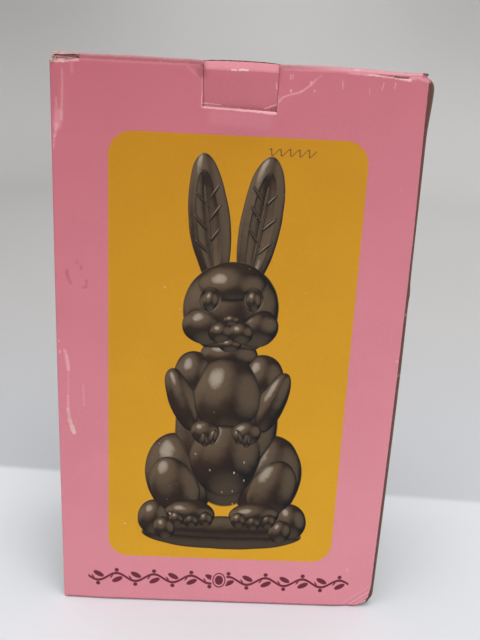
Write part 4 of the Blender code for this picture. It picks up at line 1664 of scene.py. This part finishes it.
@dataclass(frozen=True)
class PrintedFace:
    """The printed outer face of the board, with its wear, slight gloss, and painted light and shade.

    The picture's own figure is drawn only where a face lies in the picture, to keep the rest light.
    """

    name: str
    with_figure: bool = False
    inks: Inks = Inks()
    panel_middle: Point2 = (0.02, 165.2)
    panel_half: Point2 = (70.65, 131.95)
    panel_corner: float = 13.0
    panel_skew: float = 0.0022
    panel_spread: float = -3.2e-5
    print_shift: float = 1.6

    def make(self) -> bpy.types.Material:
        """Lay the material's nodes.

        Returns:
            The material.
        """
        material, sheet, shader = new_material(self.name)
        spot = PrintSpot.of(sheet)
        strokes = self.strokes(sheet, spot)
        colour = self.ground(sheet, spot)
        if self.with_figure:
            colour = Figure().painted(sheet, spot, colour)
        else:
            colour = sheet.blend(self.ornament(sheet, spot), colour, self.inks.maroon)
        colour = sheet.blend(self.pen_wave(sheet, spot), colour, self.inks.pen)
        colour = sheet.blend(self.side_print(sheet, spot), colour, self.side_ink(sheet, spot))
        if not self.with_figure:
            colour = self.creased(sheet, spot, colour)
        rubbed = self.rubbed(sheet, spot, strokes[RUBBED])
        # stains and painted shade, scuffs and painted highlights, rubbed board, then the painted shade of
        # gaps
        for share, ink in ((strokes[STAINED], self.inks.dirt_and_shade), (strokes[SCUFFED], self.inks.scuff_and_highlight),
                           (rubbed, self.inks.paper), (strokes[OPEN], self.inks.gap)):
            colour = sheet.blend(share, colour, ink)
        sheet.feed(shader.inputs["Base Color"], self.mottled(sheet, spot, colour))
        sheet.feed(shader.inputs["Roughness"], self.roughness(sheet, spot, rubbed))
        sheet.feed(shader.inputs["Normal"], self.relief(sheet, spot))
        shader.inputs["Specular IOR Level"].default_value = 0.22
        return material

    def strokes(self, sheet: NodeSheet, spot: PrintSpot) -> dict[MarkKind, Value]:
        """How far the point lies in marks of each kind, on the front alone."""
        group = bpy.data.node_groups.get("stroke") or stroke_group()
        wavy = (spot.plane + sheet.drift(spot.plane, 0.5, 1.1)) * (1.0, 1.0, 0.0)
        found: dict[MarkKind, Feed] = {kind: 0.0 for kind in MarkKind}
        for mark in FRONT_MARKS:
            if self.with_figure and (abs(mark.start[0]) > 62 or not 34 < mark.start[1] < 295):
                continue
            laid = sheet.group(group, Point=wavy, Start=(*mark.start, 0.0), End=(*mark.end, 0.0),
                               Inner=mark.width, Outer=mark.width + mark.soft)
            found[mark.kind] = sheet.maths("MAXIMUM", found[mark.kind], laid["Share"] * mark.strength)
        return {kind: sheet.maths("MULTIPLY", share, spot.front) for kind, share in found.items()}

    def ground(self, sheet: NodeSheet, spot: PrintSpot) -> Value:
        """Pink, with the yellow panel that has round corners; on the front both carry painted light, darker
        towards the upper left and lighter towards the lower right.
        """
        rise = spot.z - 165.0
        middle = rise.line(self.panel_skew, self.panel_middle[0])
        u = (spot.across - middle) / rise.line(self.panel_spread, 1.0)
        w = spot.z - self.panel_middle[1]
        over_u = abs(u) - (self.panel_half[0] - self.panel_corner)
        over_w = abs(w) - (self.panel_half[1] - self.panel_corner)
        ragged = sheet.noise(spot.plane, 1.3, 1.0).line(0.3, -0.15)
        away = sheet.join(over_u.most(0.0), over_w.most(0.0), 0.0).length() + ragged
        inside = away.ease(self.panel_corner + 0.3, self.panel_corner - 0.3) * spot.panel
        # painted light across the front, darker at the upper left and lighter at the lower right; other faces
        # take the middle tone
        fall = (spot.across.line(0.00115, spot.z * -0.0029) + 1.0565).most(0.0).least(1.0)
        painted_light = sheet.blend(spot.y.ease(-30.0, -58.0), 0.5, fall, "FLOAT")
        pink = sheet.blend(painted_light, self.inks.pink, self.inks.pale_pink)
        yellow = sheet.blend(painted_light, self.inks.yellow, self.inks.lit_yellow)
        return sheet.blend(inside, pink, yellow)

    def side_print(self, sheet: NodeSheet, spot: PrintSpot) -> Value:
        """Where the sides' brown lies, shifted a little round the carton to the left, and on the flaps."""
        swell = sheet.maths("SINE", spot.z * (math.pi / 334.0))
        edge = 100.5 - self.print_shift
        ragged = sheet.noise(spot.point, 0.25, 3.0).line(0.5, -0.25)
        crushed = spot.z.ease(16.0, 9.0) + (7.3 - spot.z).most(0.0) * 0.8
        crushed = crushed + spot.z.ease(240.0, 318.0) * 0.7
        right = swell.line(1.0, edge) + ragged - crushed * spot.front
        left = swell.line(0.5, edge) + ragged
        on_right = (spot.x > right) * (spot.y < 60.0 - self.print_shift)
        on_left = (spot.x < -left) * (spot.y > self.print_shift - 59.2)
        between = (spot.z < 332.4) * (spot.z > 1.1)
        flap = sheet.maths("COMPARE", spot.z, 332.0, 0.35) * (abs(spot.x) > 84.0) * (abs(spot.y) < 57.9)
        return (on_right.most(on_left) * between).most(flap)

    def side_ink(self, sheet: NodeSheet, spot: PrintSpot) -> Value:
        """The sides' dark brown, redder where it runs out beside the front and back."""
        return sheet.blend(abs(spot.y).ease(59.0, 59.8), self.inks.side, self.inks.side_rim)

    def creased(self, sheet: NodeSheet, spot: PrintSpot, colour: Value) -> Value:
        """The lid's front crease: worn pale on top, with painted shade below it on the left and along its
        crest, and paler below on the right.
        """
        beside_tab = abs(spot.x + 0.4) > 19.9
        on_lid = (spot.z > 331.6) * beside_tab * spot.y.ease(-54.0, -57.0)
        below = on_lid * spot.y.ease(-58.3, -59.0) * (spot.y > -59.75)
        right = spot.x.ease(15.0, 60.0)
        # painted shade below the crease, on the left
        colour = colour * (1.0 - below * right.line(-0.22, 0.22))
        colour = sheet.blend(below * right * 0.42, colour, self.inks.scuff_and_highlight)
        broken = sheet.noise(spot.point, 0.4).line(0.5, 0.18)
        colour = sheet.blend(on_lid * spot.y.ease(-59.3, -58.3) * broken, colour, self.inks.crease)
        # painted shade along the crest, more on the left
        crest = on_lid * spot.y.ease(-56.0, -57.4) * spot.y.ease(-59.4, -58.8)
        return colour * (1.0 - crest * right.line(-0.14, 0.24))

    def ornament(self, sheet: NodeSheet, spot: PrintSpot) -> Value:
        """A plain row of vine, with a leaf and a berry in each arch and an egg in its middle."""
        period = 12.0
        level = spot.z - 17.2
        cell = sheet.maths("FLOOR", spot.across / period)
        local = spot.across - cell.line(period, period / 2)
        odd = sheet.maths("FLOORED_MODULO", cell, 2.0)
        v = level * odd.line(-2.0, 1.0)
        arch = sheet.maths("COSINE", local * (math.pi / period)) * 2.7
        line = abs(v - arch).ease(1.10, 0.70)
        place = sheet.join(local, v, 0.0)
        leaf = ((place - (0.4, -1.9, 0.0)).spun(-0.5) / (3.8, 1.75, 1.0)).length().ease(1.08, 0.88)
        stem = ((place - (-3.3, 0.1, 0.0)).spun(-0.95) / (1.7, 0.5, 1.0)).length().ease(1.1, 0.8)
        berry = sheet.vector("DISTANCE", place, (0.0, 5.1, 0.0)).ease(1.55, 1.2)
        vine = line.most(leaf).most(berry.most(stem))
        egg = (sheet.join(spot.across, level, 0.0) / (4.3, 5.6, 1.0)).length()
        ring = abs(egg - 0.72).ease(0.13, 0.07)
        share = (vine * egg.ease(1.12, 1.28)).most(egg.ease(1.04, 0.94)) * (1.0 - ring)
        return share * (abs(spot.across) < 84.3) * spot.panel

    def pen_wave(self, sheet: NodeSheet, spot: PrintSpot) -> Value:
        """A short slanted wave of a thin pen near the picture's upper right, on the front alone."""
        level = spot.z - 289.4
        turns = level.line(-0.45, spot.x) * (2 * math.pi / 5.1)
        uneven = sheet.noise(spot.plane, 0.12, 1.0).line(1.4, 1.0)
        away = abs(level - sheet.maths("SINE", turns) * uneven)
        steep = abs(sheet.maths("COSINE", turns)).line(1.15, 1.0)
        ends = abs(spot.x - 29.3).ease(13.2, 12.6)
        return (away / steep).ease(0.42, 0.16) * ends * spot.front * 0.85

    def rubbed(self, sheet: NodeSheet, spot: PrintSpot, drawn: Value) -> Value:
        """Where the print is rubbed off: the marks, and small nicks along every crease."""
        drawn = drawn * sheet.noise(spot.point, 0.9, 3.0, 0.65).ease(0.34, 0.56).line(0.4, 0.6)
        in_x = 100.9 - abs(spot.x)
        in_y = 60.2 - abs(spot.y)
        in_z = 167.0 - abs(spot.z - 167.0)
        from_crease = in_x + in_y + in_z - in_x.most(in_y).most(in_z)
        patch = sheet.noise(spot.point, 0.16, 4.0, 0.7).ease(0.60, 0.74)
        nicks = from_crease.ease(2.0, 0.5) * patch * 0.35
        dust = sheet.noise(spot.point, 0.55, 1.0).ease(0.80, 0.84)
        return drawn.most(nicks.most(dust * 0.5)).least(1.0)

    def mottled(self, sheet: NodeSheet, spot: PrintSpot, colour: Value) -> Value:
        """The colour with the slight unevenness of print on coarse board."""
        cloud = sheet.noise(spot.point, 0.035).line(0.10, 0.95)
        return colour * (cloud * sheet.noise(spot.point, 0.9, 3.0, 0.6).line(0.16, 0.92))

    def roughness(self, sheet: NodeSheet, spot: PrintSpot, rubbed: Value) -> Value:
        """Slightly glossy print, duller where it is rubbed."""
        return rubbed.line(0.35, sheet.noise(spot.point, 0.08, 3.0).line(0.16, 0.36)).least(1.0)

    def relief(self, sheet: NodeSheet, spot: PrintSpot) -> Value:
        """The board's grain and soft waviness."""
        return sheet.bump(sheet.noise(spot.point, 0.05) * 0.10 + sheet.noise(spot.point, 1.6) * 0.014)


@dataclass(frozen=True)
class BoardStock:
    """Unprinted board: its raw edge, its inner face or torn paper."""

    name: str
    light: Colour
    dark: Colour
    roughness: float = 0.85
    fibre: float = 0.7
    layers: float = 0.0
    relief: float = 0.05
    flute: float = 3.4
    layer: float = 0.8

    def make(self) -> bpy.types.Material:
        """Lay the material's nodes.

        Returns:
            The material.
        """
        material, sheet, shader = new_material(self.name)
        point = sheet.place() * (1000.0, 1000.0, 1000.0)
        fibre = sheet.noise(point * (0.5, 1.0, 1.6), self.fibre, 3.0, 0.65)
        x, y, z = point.parts()
        wave = sheet.maths("SINE", (x + y) * (2 * math.pi / self.flute))
        stripes = sheet.maths("SINE", wave.line(0.35, z) * (2 * math.pi / self.layer))
        share = stripes.line(self.layers, sheet.noise(point, 0.35, 4.0, 0.6) + fibre).ease(0.72, 1.28)
        sheet.feed(shader.inputs["Base Color"], sheet.blend(share, self.dark, self.light))
        sheet.feed(shader.inputs["Roughness"], fibre.line(0.1, self.roughness - 0.05))
        sheet.feed(shader.inputs["Normal"], sheet.bump(share * self.relief))
        return material


@dataclass(frozen=True)
class StudioFloor:
    """A pale floor, faintly uneven and duller past the line where it turns into the wall, with broad painted
    light and shade: lighter far behind and up the rise, darker in the far corners, in a band behind the
    carton and close in front of it, and lighter to one side.
    """

    colour: Colour = (0.745, 0.753, 0.775)
    far_colour: Colour = (0.790, 0.768, 0.742)
    behind: float = 0.738
    lift: float = 0.13
    fall: float = -0.23
    glow: float = 0.45
    dip: float = -0.07
    lean: float = 0.16
    before: float = 0.91
    floor_lean: float = -0.10
    edge: float = 0.092
    edge_slant: float = 0.0735

    def make(self) -> bpy.types.Material:
        """Lay the material's nodes.

        Returns:
            The material.
        """
        material, sheet, shader = new_material("studio_floor")
        place = sheet.place()
        x, y, z = place.parts()
        past = x.line(self.edge_slant, y).ease(self.edge - 0.004, self.edge + 0.006)
        tone = sheet.noise(place, 1.2).line(0.03, 0.985) * past.line(self.behind - 1.0, 1.0)
        middle = y.ease(0.12, 0.45) * y.ease(1.3, 0.6)
        behind = y.ease(0.9, 1.95)
        corner = behind * abs(x).ease(0.1, 0.95) * z.ease(0.05, 0.7)
        around = (1.0 - behind) * z.ease(0.05, 1.0)
        # painted light and shade in broad zones: lighter far behind and up the rise, darker in the far
        # corners and in a band behind the carton
        for share, change in ((behind, self.lift), (corner, self.fall), (around, self.glow),
                              (middle, self.dip)):
            tone = tone * share.line(change, 1.0)
        # painted light: lighter towards the left on the near floor and towards the right past the line
        lean = x.least(0.6).most(-0.6).line(past.line(self.lean - self.floor_lean, self.floor_lean), 1.0)
        # painted shade on the floor close in front of the carton
        close = y.ease(0.03, -0.10) * y.ease(-0.9, -0.4)
        tone = tone * (lean * close.line(self.before - 1.0, 1.0))
        tint = sheet.blend(y.ease(0.08, 0.75), self.colour, self.far_colour)
        sheet.feed(shader.inputs["Base Color"], tint * tone)
        shader.inputs["Roughness"].default_value = 0.7
        shader.inputs["Specular IOR Level"].default_value = 0.2
        return material


def main() -> None:
    """Build the carton's pieces and the studio."""
    board = BoardFinishes(
        PrintedFace("printed_face").make(),
        BoardStock("raw_edge", (0.66, 0.42, 0.40), (0.40, 0.22, 0.19), layers=0.2).make(),
        BoardStock("inner_face", (0.52, 0.46, 0.40), (0.40, 0.34, 0.29)).make())
    sleeve = Sleeve().build(board, PrintedFace("printed_picture", with_figure=True).make())
    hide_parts(NODE)
    spans = ((SIZES.slit_left_end, SIZES.tab_left - SIZES.tab_gap),
             (SIZES.tab_right + SIZES.tab_gap, SIZES.slit_right_start))
    ClosingPanel("lid", Side.TOP, SIZES.half_width - SIZES.lid_inset, SIZES.hinge_radius,
                 SIZES.crease_drop, SIZES.crease_setback, spans, shelf=2.6 * MM,
                 rim_drop=0.7 * MM).build(board)
    ClosingPanel("base_panel", Side.BASE, 99.3 * MM, SIZES.hinge_radius, 1.6 * MM, 2.6 * MM,
                 ((-97 * MM, 97 * MM),)).build(board)
    LockingTab().build(board)
    # a dark ridge along the tab's first bend, as painted shade
    TabShadeLine().build(BoardStock("dark_score", (0.09, 0.035, 0.03), (0.03, 0.012, 0.01)).make())
    scraps = (Strip((-99.3, 332.75), (-94.6, 332.65), 0.62), Strip((-95.4, 332.35), (-87.6, 332.5), 0.4),
              Strip((-99.5, 331.2), (-95.8, 331.05), 0.75), Strip((-93.2, 330.95), (-91.2, 331.05), 0.6),
              Strip((-90.6, 331.45), (-88.6, 331.55), 0.45))
    TornPaper("torn_paper", scraps, 0.25 * MM, nub=True).build(
        BoardStock("torn_paper", (0.52, 0.35, 0.31), (0.30, 0.15, 0.13)).make())
    # dark strips set behind the front's top edge at both slits, as painted shade in the gaps
    TornPaper("bent_corner", (Strip((-98.4, 333.2), (-85.3, 333.3), 2.3),), -1.0 * MM).build(
        BoardStock("bent_corner", (0.30, 0.13, 0.11), (0.18, 0.075, 0.06)).make())
    TornPaper("right_corner", (Strip((80.0, 331.2), (90.5, 331.0), 2.0),), -1.0 * MM).build(
        BoardStock("right_corner", (0.36, 0.16, 0.16), (0.22, 0.09, 0.09)).make())
    GlueFlap().build(board)
    Studio().build(StudioFloor().make())


if __name__ == "__main__":
    main()
